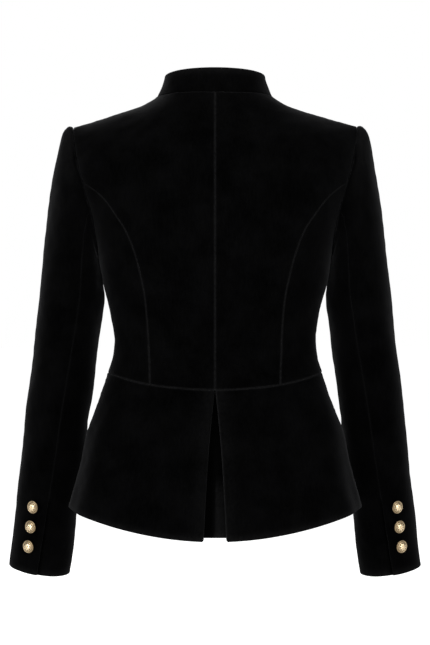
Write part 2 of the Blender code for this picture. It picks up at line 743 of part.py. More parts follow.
def ring_along():
    """The length along the sleeve at each ring, from the armhole."""
    middle = np.array([[(r.outer_x + r.inner_x) / 2, (r.outer_z + r.inner_z) / 2] for r in RINGS])
    return np.concatenate([[0], np.cumsum(np.linalg.norm(np.diff(middle, axis=0), axis=1))])


RING_ALONG = ring_along()


def ring_column(name):
    return smooth_curve(RING_ALONG, [getattr(ring, name) for ring in RINGS])


ring = {name: ring_column(name) for name in Ring._fields}


def ring_point(along, angle):
    outer = np.stack([ring["outer_x"](along), ring["outer_z"](along)], axis=-1)
    inner = np.stack([ring["inner_x"](along), ring["inner_z"](along)], axis=-1)
    across = (outer + inner) / 2 + (outer - inner) / 2 * np.cos(angle)[..., None]
    y = ring["middle_y"](along) + ring["half_depth"](along) * np.sin(angle)
    z = across[..., 1] - ring["back_drop"](along) * np.sin(angle)
    return np.stack([across[..., 0], y, z], axis=-1)


def armhole_point(angle):
    """The armhole's edge on the body, where the sleeve starts."""
    degrees = np.degrees(angle) % 360
    x, z = armhole_xz(degrees)
    front = degrees > 180
    back_point = body_point(*np.moveaxis(on_body(x, z, False), -1, 0))
    front_point = body_point(*np.moveaxis(on_body(x, z, True), -1, 0))
    point = np.where(front[..., None], front_point, back_point)
    return point + np.array([SLEEVE_CLEARANCE, 0, 0])


def sleeve_point(along, angle):
    along, angle = np.broadcast_arrays(np.asarray(along, float), np.asarray(angle, float))
    start = ring_point(np.zeros(along.shape), angle)
    fitted = 1 - ease(along / CAP_BLEND)
    return ring_point(along, angle) + (armhole_point(angle) - start) * fitted[..., None]


def sleeve_normal(along, angle):
    step = SURFACE_STEP
    around = sleeve_point(along, angle + step) - sleeve_point(along, angle - step)
    after = np.minimum(along + step, RING_ALONG[-1])
    before = np.maximum(along - step, 0)
    down = sleeve_point(after, angle) - sleeve_point(before, angle)
    return unit(np.cross(down, around))


def sleeve_grid(shares, first_deg, last_deg):
    """The lengths and angles of a sleeve piece between two seams, which may move down the sleeve."""
    along = np.broadcast_to(RING_ALONG[:, None], (len(RINGS), len(shares)))
    first = np.broadcast_to(first_deg, RING_ALONG.shape)[:, None]
    last = np.broadcast_to(last_deg, RING_ALONG.shape)[:, None]
    return along, np.radians(first + (last - first) * shares[None])


def vent_raise(along, angle):
    """The doubled cloth of the cuff vent, along the hindarm edge of the upper sleeve."""
    seam = np.radians(ring["hindarm_deg"](along))
    away = np.linalg.norm(sleeve_point(along, angle) - sleeve_point(along, seam), axis=-1)
    near_edge = 1 - ease((away - VENT_FLAT) / (VENT_WIDTH - VENT_FLAT))
    near_edge = np.where(angle > seam - math.pi / 2, near_edge, 0)
    start = RING_ALONG[-1] - VENT_LENGTH
    return VENT_RAISE * near_edge * ease((along - start) / VENT_RAMP)


def sleeves(parent):
    back_degrees = np.concatenate([
        np.linspace(0, BACK_JOINT_DEG, SHOULDER_ROWS + 1),
        np.linspace(BACK_JOINT_DEG, 180, UNDERARM_COLUMNS + 1)[1:],
    ])
    front_degrees = np.concatenate([
        np.linspace(180, FRONT_JOINT_DEG, FRONT_UNDERARM_COLUMNS + 1)[1:],
        np.linspace(FRONT_JOINT_DEG, 360, SHOULDER_ROWS + 1)[1:],
    ])
    hindarm_index = SHOULDER_ROWS + 2
    hindarm = back_degrees[hindarm_index]
    forearm_index = FRONT_UNDERARM_COLUMNS // 2 - 1
    forearm = front_degrees[forearm_index]

    upper = np.concatenate([front_degrees[forearm_index:] - 360, back_degrees[1:hindarm_index + 1]])
    under = np.concatenate([back_degrees[hindarm_index:], front_degrees[:forearm_index + 1]])
    hindarm_line = ring["hindarm_deg"](RING_ALONG)
    hindarm_line[0] = hindarm
    pieces = (
        ("sleeve_upper", upper, forearm - 360, hindarm_line),
        ("sleeve_under", under, hindarm_line, forearm),
    )
    for name, columns, first_deg, last_deg in pieces:
        shares = (columns - columns[0]) / (columns[-1] - columns[0])
        along, angle = sleeve_grid(shares, first_deg, last_deg)
        normal = sleeve_normal(along, angle)
        outer = sleeve_point(along, angle)
        inner = outer - normal * SLEEVE_CLOTH
        if name == "sleeve_upper":
            outer = outer + normal * vent_raise(along, angle)[..., None]
        outer, inner = sleeve_edges(outer), sleeve_edges(inner)
        pair(name, outer, inner, parent)


def sleeve_edges(grid):
    """The grid with its two long edges drawn in. The armhole already has its own clearance."""
    drawn = grid.copy()
    drawn[:, 0] += unit(grid[:, 1] - grid[:, 0]) * SLEEVE_EDGE_INSET
    drawn[:, -1] += unit(grid[:, -2] - grid[:, -1]) * SLEEVE_EDGE_INSET
    return drawn


# Buttons


def button_mesh():
    mesh = bmesh.new()
    verts = [mesh.verts.new((point.radius, 0, point.height)) for point in BUTTON]
    edges = [mesh.edges.new(ends) for ends in zip(verts, verts[1:])]
    bmesh.ops.spin(
        mesh,
        geom=verts + edges,
        axis=(0, 0, 1),
        cent=(0, 0, 0),
        angle=2 * math.pi,
        steps=BUTTON_SEGMENTS,
        use_merge=True,
    )
    bmesh.ops.remove_doubles(mesh, verts=mesh.verts, dist=1e-6)
    bmesh.ops.recalc_face_normals(mesh, faces=mesh.faces)
    data = bpy.data.meshes.new("button")
    mesh.to_mesh(data)
    mesh.free()
    data.shade_smooth()
    data.set_sharp_from_angle(angle=math.radians(BUTTON_SHARP_DEG))
    data.materials.append(material("button", GOLD))
    return data


def add_button(name, mesh, seat, normal, parent):
    made = add_object(name, mesh, GOLD, parent)
    made.location = Vector(seat + normal * BUTTON_SEAT)
    made.rotation_euler = Vector(normal).to_track_quat("Z", "Y").to_euler()


def cuff_buttons(mesh, parent):
    for number in range(CUFF_BUTTONS):
        along = np.array(RING_ALONG[-1] - CUFF_BUTTON_FROM_HEM - number * CUFF_BUTTON_STEP)
        angle = np.radians(CUFF_BUTTON_DEG)
        normal = sleeve_normal(along, angle)
        seat = sleeve_point(along, angle) + normal * vent_raise(along, angle)
        facing = sleeve_normal(along, np.radians(CUFF_BUTTON_DEG - CUFF_BUTTON_TILT_DEG))
        add_button(f"cuff_button_left_{number + 1}", mesh, seat, facing, parent)
        add_button(f"cuff_button_right_{number + 1}", mesh, mirrored(seat), mirrored(facing), parent)


def front_buttons(mesh, parent):
    for number in range(FRONT_BUTTONS):
        z = FRONT_BUTTON_TOP_Z - number * FRONT_BUTTON_STEP
        level = level_at(z, 0)
        seat = body_point(np.pi, level)
        add_button(f"front_button_{number + 1}", mesh, seat, body_normal(np.pi, level), parent)


def main():
    for old in list(bpy.data.objects):
        bpy.data.objects.remove(old, do_unlink=True)
    jacket = bpy.data.objects.new("jacket", None)
    bpy.context.scene.collection.objects.link(jacket)
    back_panels(jacket)
    front_panels(jacket)
    peplum_back(jacket)
    pleat_underlay(jacket)
    peplum_front(jacket)
    collar(jacket)
    sleeves(jacket)
    mesh = button_mesh()
    cuff_buttons(mesh, jacket)
    front_buttons(mesh, jacket)


main()
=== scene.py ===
"""The looks of a black velvet trachten jacket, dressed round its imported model.

Metres, in the model's own frame: +Z up, +X the wearer's left and +Y the wearer's back. Each cut
piece of the model is replaced by a fine shell of velvet on the same form, with rolled seams,
turned edges, puckers and soft creases, and each button by a cast one with a rosette.
"""

import math
from collections import namedtuple

import bpy
import numpy as np
from mathutils import Matrix, Vector


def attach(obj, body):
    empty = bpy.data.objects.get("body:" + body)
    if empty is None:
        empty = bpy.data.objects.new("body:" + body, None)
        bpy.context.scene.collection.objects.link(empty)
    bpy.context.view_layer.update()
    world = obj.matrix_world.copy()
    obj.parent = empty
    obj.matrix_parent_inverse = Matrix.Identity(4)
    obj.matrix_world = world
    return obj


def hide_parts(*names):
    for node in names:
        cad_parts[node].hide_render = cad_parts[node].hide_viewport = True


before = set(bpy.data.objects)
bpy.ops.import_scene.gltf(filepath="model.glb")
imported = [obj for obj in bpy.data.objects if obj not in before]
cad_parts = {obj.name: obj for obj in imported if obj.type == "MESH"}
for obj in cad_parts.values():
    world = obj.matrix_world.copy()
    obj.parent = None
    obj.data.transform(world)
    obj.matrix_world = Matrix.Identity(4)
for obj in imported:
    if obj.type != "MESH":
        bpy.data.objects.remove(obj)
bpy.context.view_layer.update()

# Cloth, and how the mesh follows it: the usual step, and the steps near an edge
CLOTH = 0.0020
SLEEVE_CLOTH = 0.0018
COLLAR_CLOTH = 0.0028
SEAM_GAP = 0.00005
STEP = 0.0028
NEAR_EDGE = np.array([0.0, 0.0002, 0.0005, 0.0009, 0.0014, 0.0021, 0.0031, 0.0045])
LINE_POINTS = 240
SURFACE_STEP = 1e-4

# Seams: both sides roll down into them, and pucker beside them
SEAM_DEPTH = 0.0010
SEAM_WIDTH = 0.0017
PUCKER_HEIGHT = 0.00022
PUCKER_REACH = 0.0060
SHORT_PUCKERS = (0.005, 0.015)
LONG_PUCKERS = (0.040, 0.090)
WOBBLE_WAVES = 5
WOBBLE_HIGHEST = 2.4
RIM = 0.0001
SEAM_TUCK = 0.0004
# Painted sheen of the pile along seams and hems, and painted shadow: how far each reaches, the most sheen,
# and how much less a vent's edge gets
GLOW_REACH = 0.0013
HEM_REACH = 0.0060
SHADOW_REACH = 0.0022
MOST_GLOW = 1.6
VENT_LESS_SHEEN = 0.8
MIDDLE_DROP = 0.010

# The left side of the jacket, which is drawn, and the right, which mirrors it
LEFT, RIGHT = 1, -1
SIDES = {"left": LEFT, "right": RIGHT}

# Body form, as in the model: level, half width, y of the side, back and front, and the powers of
# the back's and the front's curve
SECTIONS = [
    (-0.6, 0.203, 0.028, 0.148, -0.122, 2, 1.65),
    (-0.532, 0.1892, 0.025, 0.138, -0.116, 2, 1.7),
    (-0.499, 0.1803, 0.022, 0.13, -0.111, 2.02, 1.78),
    (-0.469, 0.1731, 0.019, 0.122, -0.107, 2.05, 1.86),
    (-0.439, 0.1671, 0.016, 0.113, -0.102, 2.08, 1.95),
    (-0.407, 0.1556, 0.0125, 0.103, -0.096, 2.12, 2.05),
    (-0.381, 0.1461, 0.0105, 0.0925, -0.091, 2.16, 2.12),
    (-0.355, 0.1372, 0.009, 0.083, -0.0875, 2.18, 2.18),
    (-0.335, 0.132, 0.0085, 0.077, -0.086, 2.2, 2.2),
    (-0.316, 0.1307, 0.008, 0.075, -0.087, 2.2, 2.2),
    (-0.29, 0.1339, 0.006, 0.0775, -0.0915, 2.24, 2.22),
    (-0.264, 0.1393, 0.004, 0.083, -0.1, 2.3, 2.26),
    (-0.249, 0.1437, 0.003, 0.087, -0.1055, 2.36, 2.3),
    (-0.227, 0.1478, 0.001, 0.092, -0.1115, 2.44, 2.36),
    (-0.205, 0.1515, -0.002, 0.096, -0.1135, 2.5, 2.4),
    (-0.15, 0.166, -0.002, 0.101, -0.102, 2.7, 2.5),
    (-0.111, 0.177, -0.002, 0.1018, -0.087, 2.7, 2.5),
    (-0.082, 0.183, -0.002, 0.102, -0.073, 2.7, 2.5),
    (-0.032, 0.186, -0.002, 0.102, -0.07, 2.7, 2.5),
    (0.086, 0.19, -0.002, 0.102, -0.07, 2.7, 2.5),
]
ARCH_START = -0.150
ARCH_SCALE = 0.150
TOP_LEVEL = ARCH_START + ARCH_SCALE * math.pi / 2

# Shoulder line: distance from the centre, and height
SHOULDER = [
    (0, 0.035), (0.025, 0.031), (0.05, 0.019), (0.065, 0.008), (0.0745, 0.001), (0.085, -0.0057),
    (0.097, -0.0118), (0.11, -0.0169), (0.136, -0.0252), (0.162, -0.0326), (0.184, -0.0388),
    (0.192, -0.041),
]

# Armhole and princess seams: height, and distance from the centre
ARMHOLE_MIDDLE_Z = -0.1219
ARMHOLE_HALF_HEIGHT = 0.0831
ARMHOLE_BACK = [
    (-0.205, 0.1515), (-0.197, 0.1517), (-0.1708, 0.1549), (-0.1514, 0.1583), (-0.1365, 0.1627),
    (-0.122, 0.167), (-0.112, 0.1694), (-0.0989, 0.1735), (-0.0843, 0.1775), (-0.0612, 0.1816),
    (-0.0456, 0.1839), (-0.0388, 0.184),
]
ARMHOLE_FRONT = [
    (-0.205, 0.1515), (-0.19, 0.152), (-0.15, 0.155), (-0.1134, 0.1635), (-0.0975, 0.169),
    (-0.071, 0.177), (-0.0388, 0.184),
]
BACK_JOINT_DEG = 84.3
FRONT_JOINT_DEG = 270.0
PRINCESS_BACK = [
    (-0.39, 0.0824), (-0.3717, 0.0828), (-0.338, 0.0838), (-0.296, 0.0863), (-0.259, 0.0896),
    (-0.2305, 0.095), (-0.203, 0.1025), (-0.175, 0.1139), (-0.154, 0.1276), (-0.135, 0.1424),
    (-0.121, 0.1584),
]
PRINCESS_FRONT = [
    (-0.39, 0.069), (-0.368, 0.07), (-0.33, 0.074), (-0.29, 0.082), (-0.24, 0.091), (-0.2, 0.098),
    (-0.17, 0.112), (-0.145, 0.134), (-0.128, 0.154),
]
FOOT_TRIES = 20

# Neckline, waist seam and hem
NECK_HALF_WIDTH = 0.0745
NECK_SIDE_Z = 0.0010
NECK_BACK_RISE = 0.0006
NECK_FRONT_DROP = 0.0730
WAIST_SIDE_Z = -0.3575
WAIST_BACK_DIP = 0.0200
WAIST_FRONT_DIP = 0.0107
HEM_SIDE_Z = -0.5305
HEM_BACK_DIP = 0.0322

# Stand collar
COLLAR_TOP_HALF_WIDTH = 0.0650
COLLAR_TOP_SIDE_Z = 0.0269
COLLAR_TOP_BACK_RISE = 0.0057
COLLAR_TOP_FRONT_DROP = 0.0679
COLLAR_TOP_Y = -0.0020
COLLAR_TOP_BACK_REACH = 0.0545
COLLAR_TOP_FRONT_REACH = 0.0535
COLLAR_LEAN_POWER = 1.5
COLLAR_HALF_OPENING = 0.0030
COLLAR_CORNER = 0.0140
COLLAR_SEAT = 0.0005
COLLAR_TUCK = 0.0025
COLLAR_STIFFNESS = 0.5
COLLAR_COLUMNS = 70
COLLAR_CORNER_COLUMNS = 14

# Front closure
LAP = 0.0180
SUNK = CLOTH + 0.0010
SINK_START = 0.0200
SINK_END = 0.0320

# Inverted pleat: height, half its opening, and the width of each return
PLEAT = [
    (-0.57, 0.0147, 0.035), (-0.563, 0.0142, 0.034), (-0.519, 0.0119, 0.0285), (-0.462, 0.0085, 0.021),
    (-0.419, 0.0048, 0.015), (-0.381, 0.0008, 0.01),
]
FOLD_RADIUS = 0.0026
FOLD_STEPS = 12
RETURN_COLUMNS = 10
RETURN_HEM_RISE = 0.0030
UNDERLAY_GAP = 0.0005
UNDERLAY_BELLY = 0.0025
UNDERLAY_HEM_RISE = 0.0041
UNDERLAY_WIDTH = 0.080
# Painted light on the lower part of the pleat's underlay and painted shadow on the rest, and painted
# highlights along the folds, stronger on the right piece
UNDERLAY_LIT = 1.50
UNDERLAY_LIT_FROM = 0.45
UNDERLAY_LIT_TO = -0.15
UNDERLAY_LIT_DOWN = (0.30, 0.75)
FOLD_GLOW = {"left": 0.25, "right": 1.50}
FOLD_HALO = 0.22
HALO_REACH = 0.0100
HEM_SAG = 0.0014
SAG_REACH = 0.0600
FOLD_FLAT = 0.020
FOLD_NEAR = 3

# Soft flutes of the peplum: degrees from the centre back, width in degrees, and height
FLUTES = [
    (33, 9, -0.0012), (59, 9, 0.003), (76, 8, -0.0016), (106, 9, 0.0018), (128, 10, -0.0014),
    (149, 9, 0.0022),
]

# Sleeve rings: x and z of the outer and the inner edge, y of the middle, half depth, how far the
# back drops, and the degrees of the hindarm seam
RINGS = [
    (0.1844, -0.0388, 0.1519, -0.205, -0.002, 0.05, 0, 112),
    (0.189, -0.0378, 0.153, -0.206, -0.0015, 0.053, 0, 112),
    (0.1957, -0.0433, 0.1534, -0.2075, -0.0015, 0.0555, 0, 112.5),
    (0.2006, -0.0563, 0.1527, -0.21, -0.002, 0.057, 0, 113.5),
    (0.2062, -0.0823, 0.1516, -0.2145, -0.0035, 0.0585, 0, 114.5),
    (0.212, -0.113, 0.1501, -0.221, -0.006, 0.059, 0, 114),
    (0.2178, -0.15, 0.1482, -0.23, -0.0105, 0.059, 0, 112),
    (0.2227, -0.186, 0.1458, -0.242, -0.016, 0.0585, 0, 109.5),
    (0.2272, -0.228, 0.1429, -0.258, -0.0215, 0.0575, 0, 107),
    (0.2317, -0.272, 0.1473, -0.29, -0.024, 0.056, 0, 106.5),
    (0.2378, -0.325, 0.1543, -0.337, -0.026, 0.054, 0, 105.3),
    (0.2452, -0.385, 0.1622, -0.394, -0.029, 0.051, 0, 101.7),
    (0.2519, -0.445, 0.1701, -0.455, -0.034, 0.048, 0.0003, 98.8),
    (0.259, -0.505, 0.1781, -0.516, -0.041, 0.045, 0.0012, 95.7),
    (0.2659, -0.56, 0.1853, -0.571, -0.049, 0.0425, 0.0028, 92.8),
    (0.2725, -0.613, 0.1925, -0.625, -0.057, 0.0405, 0.005, 89),
]
FOREARM_DEG = 225.0
SLEEVE_CLEARANCE = 0.0004
CAP_BLEND = 0.045
SLEEVE_DEGREE = 0.0009
UPPER_SLEEVE_WIDTH = 0.205
UNDER_SLEEVE_WIDTH = 0.100

# Sleeve head: small gathers that ease the cap into the armhole
GATHER_HEIGHT = 0.0006
GATHER_LENGTH = 0.026
GATHER_HALF_DEG = 80.0
GATHER_WAVES = (0.006, 0.013)
# Painted sheen on the sleeve head, and where the painted shadow beside the armhole begins and is full
HEAD_GLOW = 0.90
HEAD_REACH = 0.045
HEAD_HALF_DEG = 100.0
SHADOW_FROM_DEG = 45.0
SHADOW_TO_DEG = 75.0
TUCK_DEPTHS = (0.0010, 0.0020, 0.0032)
TUCK_TAPER = 0.45

# Underarm: length along the sleeve, and how far its inner side is pushed against the body there, or
# springs back from it below 0, on the left and on the right
PRESSES = [
    (0, 0, 0),
    (0.016, 0.0015, 0.0018),
    (0.031, 0.0021, 0.0016),
    (0.073, 0.002, 0),
    (0.093, 0.0013, -0.001),
    (0.1025, 0, -0.0016),
    (0.1125, -0.0007, -0.0026),
    (0.127, -0.0012, -0.0032),
    (0.149, -0.0015, -0.0018),
    (0.178, -0.0012, -0.0012),
    (0.205, 0, 0),
]
PRESS_DEG = 186.0
PRESS_WIDTH_DEG = 35.0

# Cuff vent and its buttons
VENT_LENGTH = 0.100
VENT_RAISE = 0.0012
VENT_RAMP = 0.004
UNDERLAP_RAMP = 0.030
VENT_FLAT = 0.010
VENT_WIDTH = 0.026
VENT_SINK = 0.0020
VENT_UNDERLAP = 0.012
VENT_SHADOW = 0.0028
CUFF_BUTTON_DEG = 70.6
CUFF_BUTTON_TILT_DEG = 12.0
CUFF_BUTTON_FROM_HEM = 0.0360
CUFF_BUTTON_STEP = 0.0255
CUFF_BUTTONS = 3
BUTTON_SEAT = 0.0005

# Front buttons and buttonholes
FRONT_BUTTON_TOP_Z = -0.090
FRONT_BUTTON_STEP = 0.052
FRONT_BUTTONS = 6
BUTTONHOLE_OUTER_X = 0.0030
BUTTONHOLE_LENGTH = 0.0205
BUTTONHOLE_HALF_WIDTH = 0.0011
THREAD_RADIUS = 0.00055
BUTTONHOLE_STITCHES = 52
ROWS_PER_STITCH = 4
THREAD_SIDES = 8
THREAD_WAIST = 0.20
LOOP_SQUARED_ALONG = 1.6
LOOP_SQUARED_ACROSS = 2.2

# Creases of the body: x and z of both ends, width, and how far it stands out or sinks in
BACK_CREASES = [
    (0.15, -0.212, 0.104, -0.268, 0.009, 0.0008), (0.146, -0.238, 0.116, -0.292, 0.008, -0.0006),
    (-0.149, -0.219, -0.108, -0.257, 0.01, 0.0009), (-0.142, -0.25, -0.116, -0.301, 0.0075, -0.0007),
    (0.13, -0.316, 0.086, -0.305, 0.0065, -0.0008), (0.126, -0.339, 0.078, -0.333, 0.0055, 0.0006),
    (-0.13, -0.31, -0.094, -0.322, 0.007, -0.0007), (-0.124, -0.343, -0.074, -0.329, 0.0055, 0.0007),
    (0.056, -0.317, -0.034, -0.325, 0.008, -0.0006), (0.016, -0.347, 0.072, -0.353, 0.006, 0.0005),
    (-0.071, -0.352, -0.012, -0.343, 0.0065, -0.0005), (0.158, -0.096, 0.098, -0.137, 0.012, 0.0007),
    (-0.16, -0.09, -0.104, -0.121, 0.012, 0.0007), (0.058, -0.028, 0.112, -0.057, 0.014, -0.0006),
    (-0.064, -0.026, -0.121, -0.061, 0.014, -0.0006), (0.098, -0.388, 0.126, -0.47, 0.012, 0.001),
    (-0.093, -0.384, -0.112, -0.462, 0.011, 0.0009), (0.043, -0.418, 0.056, -0.53, 0.013, -0.0008),
    (-0.058, -0.432, -0.068, -0.53, 0.012, -0.0008),
]
FRONT_CREASES = [
    (0.148, -0.15, 0.092, -0.196, 0.01, 0.0009), (-0.15, -0.156, -0.096, -0.188, 0.011, 0.0008),
    (0.14, -0.232, 0.098, -0.214, 0.008, -0.0007), (-0.138, -0.24, -0.102, -0.216, 0.008, -0.0007),
    (0.122, -0.318, 0.044, -0.3, 0.007, -0.0008), (0.118, -0.342, 0.052, -0.337, 0.0055, 0.0006),
    (-0.124, -0.311, -0.05, -0.322, 0.007, -0.0008), (-0.112, -0.346, -0.04, -0.334, 0.006, 0.0006),
    (0.03, -0.118, 0.058, -0.15, 0.011, 0.0006), (-0.034, -0.122, -0.066, -0.148, 0.011, 0.0006),
    (0.084, -0.384, 0.104, -0.48, 0.012, 0.0009), (-0.076, -0.382, -0.094, -0.47, 0.012, 0.0009),
]

# Creases of the sleeves: length along the sleeve and degrees of both ends, width and height
SLEEVE_CREASES = {
    LEFT: [
        (0.03, 148, 0.11, 112, 0.009, 0.0011), (0.055, 168, 0.15, 138, 0.01, -0.001),
        (0.02, 210, 0.12, 252, 0.01, 0.001), (0.262, 262, 0.3, 176, 0.0085, -0.0014),
        (0.29, 268, 0.322, 190, 0.0075, 0.0012), (0.318, 252, 0.346, 184, 0.008, -0.0011),
        (0.27, 60, 0.35, 88, 0.013, 0.0007), (0.41, 128, 0.48, 84, 0.01, 0.0006),
        (0.455, 262, 0.5, 206, 0.009, -0.0008),
    ],
    RIGHT: [
        (0.034, 144, 0.1, 108, 0.009, 0.001), (0.06, 162, 0.16, 132, 0.011, -0.001),
        (0.024, 204, 0.11, 248, 0.01, 0.001), (0.256, 256, 0.296, 182, 0.0085, -0.0013),
        (0.284, 270, 0.316, 186, 0.0075, 0.0012), (0.312, 248, 0.35, 196, 0.0085, -0.0012),
        (0.285, 52, 0.36, 84, 0.013, 0.0007), (0.4, 122, 0.465, 90, 0.01, 0.0006),
        (0.44, 258, 0.49, 210, 0.009, -0.0008),
    ],
}

# Uneven lie of the velvet all over: shortest and longest wave, and height, at its two scales
LIES = [(0.050, 0.110, 0.00070), (0.014, 0.026, 0.00014)]
LIE_WAVES = 9
CREASE_END = 0.08
CREASE_FADE = 0.8

random = np.random.default_rng(17)


def smooth_curve(places, values):
    """A curve through the points that never overshoots them: a monotone cubic."""
    places = np.array(places, float)
    values = np.array(values, float)
    steps = np.diff(places)
    slopes = np.diff(values) / steps
    tangents = np.empty_like(places)
    tangents[0] = slopes[0]
    tangents[-1] = slopes[-1]
    for i in range(1, len(places) - 1):
        before, after = slopes[i - 1], slopes[i]
        if before * after <= 0:
            tangents[i] = 0
            continue
        near = 2 * steps[i] + steps[i - 1]
        far = steps[i] + 2 * steps[i - 1]
        tangents[i] = (near + far) / (near / before + far / after)

    def curve(place):
        place = np.clip(place, places[0], places[-1])
        i = np.clip(np.searchsorted(places, place, side="right") - 1, 0, len(steps) - 1)
        t = (place - places[i]) / steps[i]
        return (
            values[i] * (1 + 2 * t) * (1 - t) ** 2
            + values[i + 1] * t * t * (3 - 2 * t)
            + steps[i] * t * (1 - t) * (tangents[i] * (1 - t) - tangents[i + 1] * t)
        )

    return curve


def curves(rows):
    """A curve for each other column of a table, by its first one."""
    first, *others = zip(*rows)
    return [smooth_curve(first, values) for values in others]


def ease(t):
    t = np.clip(t, 0, 1)
    return t * t * (3 - 2 * t)


def unit(vectors):
    return vectors / np.linalg.norm(vectors, axis=-1, keepdims=True)


def stacked(*values):
    return np.stack(np.broadcast_arrays(*values), axis=-1)


half_width, side_y, back_y, front_y, back_power, front_power = curves(SECTIONS)
[shoulder_z] = curves(SHOULDER)
[armhole_back_x] = curves(ARMHOLE_BACK)
[armhole_front_x] = curves(ARMHOLE_FRONT)
press = dict(zip((LEFT, RIGHT), curves(PRESSES)))
pleat_edge, return_width = curves(PLEAT)


# The body's surface, by angle and level. An angle of 0 is the centre back, 90 degrees the left side


def body_point(angle, level):
    angle, level = np.broadcast_arrays(np.asarray(angle, float), np.asarray(level, float))
    sine, cosine = np.sin(angle), np.cos(angle)
    power = np.where(cosine >= 0, back_power(level), front_power(level))
    far_y = np.where(cosine >= 0, back_y(level), front_y(level))
    arch = np.clip((level - ARCH_START) / ARCH_SCALE, 0, None)
    x = half_width(level) * np.sign(sine) * np.abs(sine) ** (2 / power)
    bulge = np.abs(cosine) ** (2 / power) * np.cos(arch)
    y = side_y(level) + (far_y - side_y(level)) * bulge
    crown = ARCH_START + (shoulder_z(np.abs(x)) - ARCH_START) * np.sin(arch)
    z = np.where(arch > 0, crown, level)
    return stacked(x, y, z)


def body_normal(angle, level):
    step = SURFACE_STEP
    above = np.minimum(level + step, TOP_LEVEL)
    around = body_point(angle + step, level) - body_point(angle - step, level)
    up = body_point(angle, above) - body_point(angle, above - 2 * step)
    return unit(np.cross(up, around))


def level_at(z, x):
    z = np.asarray(z, float)
    rise = (z - ARCH_START) / (shoulder_z(np.abs(x)) - ARCH_START)
    return np.where(z > ARCH_START, ARCH_START + ARCH_SCALE * np.arcsin(np.clip(rise, 0, 1)), z)


def angle_at(x, level, front=False):
    power = front_power(level) if front else back_power(level)
    share = np.clip(np.abs(x) / half_width(level), 0, 1) ** (power / 2)
    angle = np.sign(x) * np.arcsin(share)
    return np.pi - angle if front else angle


def on_body(x, z, front=False):
    level = level_at(z, x)
    return stacked(angle_at(x, level, front), level)


def at(measure, x, z, front):
    """The body's point or normal at this distance from the centre and this height."""
    return measure(*np.moveaxis(on_body(x, z, front), -1, 0))


def waist_z(angle):
    dip = np.where(np.cos(angle) >= 0, WAIST_BACK_DIP, WAIST_FRONT_DIP)
    return WAIST_SIDE_Z - dip * np.cos(angle) ** 2


def hem_z(angle):
    dip = np.where(np.cos(angle) >= 0, HEM_BACK_DIP, 0)
    return HEM_SIDE_Z - dip * np.cos(angle) ** 2


def peplum_level(angle, down):
    """The level at this share of the way down from the waist seam to the hem."""
    return waist_z(angle) + (hem_z(angle) - waist_z(angle)) * down


def flute_height(angle, level):
    """How far the peplum's soft flutes stand out, growing from the waist seam to the hem."""
    top, hem = waist_z(angle), hem_z(angle)
    grown = ease((top - level) / (top - hem))
    height = np.zeros(np.shape(angle))
    for middle, width, most in FLUTES:
        away = (np.abs(np.degrees(angle)) - middle) / width
        height = height + most * np.exp(-away * away)
    return np.where(level < top, height * grown, 0)


# Seam lines on the body, as dense rows of angle and level


def armhole_xz(degrees):
    degrees = np.asarray(degrees, float)
    z = ARMHOLE_MIDDLE_Z + ARMHOLE_HALF_HEIGHT * np.cos(np.radians(degrees))
    return np.where(degrees <= 180, armhole_back_x(z), armhole_front_x(z)), z


def armhole_line(first_deg, last_deg, front):
    line = on_body(*armhole_xz(np.linspace(first_deg, last_deg, LINE_POINTS)), front)
    if last_deg in (0, 360):
        line[-1, 1] = TOP_LEVEL
    return line


def princess_line(rows, joint_deg, front):
    """A princess seam from the waist seam up to the armhole."""
    joint_x, joint_z = (float(value) for value in armhole_xz(joint_deg))
    [reach] = curves([*rows, (joint_z, joint_x)])
    foot = WAIST_SIDE_Z
    for _ in range(FOOT_TRIES):
        foot = float(waist_z(angle_at(reach(foot), foot, front)))
    z = np.linspace(foot, joint_z, LINE_POINTS)
    return on_body(reach(z), z, front)


def neck_x_z(degrees, front):
    """The neckline, from the centre at 0 degrees to the shoulder at 90."""
    turn = np.radians(degrees)
    x = NECK_HALF_WIDTH * np.sin(turn)
    if front:
        return x, NECK_SIDE_Z - NECK_FRONT_DROP * np.cos(turn) ** 2
    return x, NECK_SIDE_Z + NECK_BACK_RISE * np.cos(turn)


def neck_line(first_degrees, front):
    line = on_body(*neck_x_z(np.linspace(first_degrees, 90, LINE_POINTS), front), front)
    line[-1, 1] = TOP_LEVEL
    return line


def shoulder_line(front):
    x = np.linspace(NECK_HALF_WIDTH, float(armhole_xz(0)[0]), LINE_POINTS)
    return stacked(angle_at(x, TOP_LEVEL, front), TOP_LEVEL)


def waist_line(first_angle, last_angle):
    angle = np.linspace(first_angle, last_angle, LINE_POINTS)
    return stacked(angle, waist_z(angle))


def level_line(first_angle, last_angle, level):
    return stacked(np.linspace(first_angle, last_angle, LINE_POINTS), level)


def side_seam():
    armpit_z = ARMHOLE_MIDDLE_Z - ARMHOLE_HALF_HEIGHT
    return stacked(np.pi / 2, np.linspace(WAIST_SIDE_Z, armpit_z, LINE_POINTS))


def centre_line(first, last, x, front):
    """An upright line at this distance from the centre."""
    level = np.linspace(first, last, LINE_POINTS)
    return stacked(angle_at(x, level, front), level)


def lengths(points):
    steps = np.linalg.norm(np.diff(points, axis=0), axis=-1)
    return np.concatenate([[0], np.cumsum(steps)])


def line_length(line):
    return float(lengths(body_point(*line.T))[-1])


def spread(line, shares):
    """The line again, at these shares of its length."""
    length = lengths(body_point(*line.T))
    return stacked(*(np.interp(shares * length[-1], length, values) for values in line.T))


def spots(length, stop=None):
    """Shares of an edge: close together near its ends, then evenly, with one at the stop."""
    near = NEAR_EDGE
    count = max(2, round((length - 2 * near[-1]) / STEP))
    middle = np.linspace(near[-1], length - near[-1], count + 1)
    places = np.concatenate([near[:-1], middle, length - near[-2::-1]])
    if stop is not None:
        places[np.argmin(np.abs(places - stop))] = stop
    return places / length


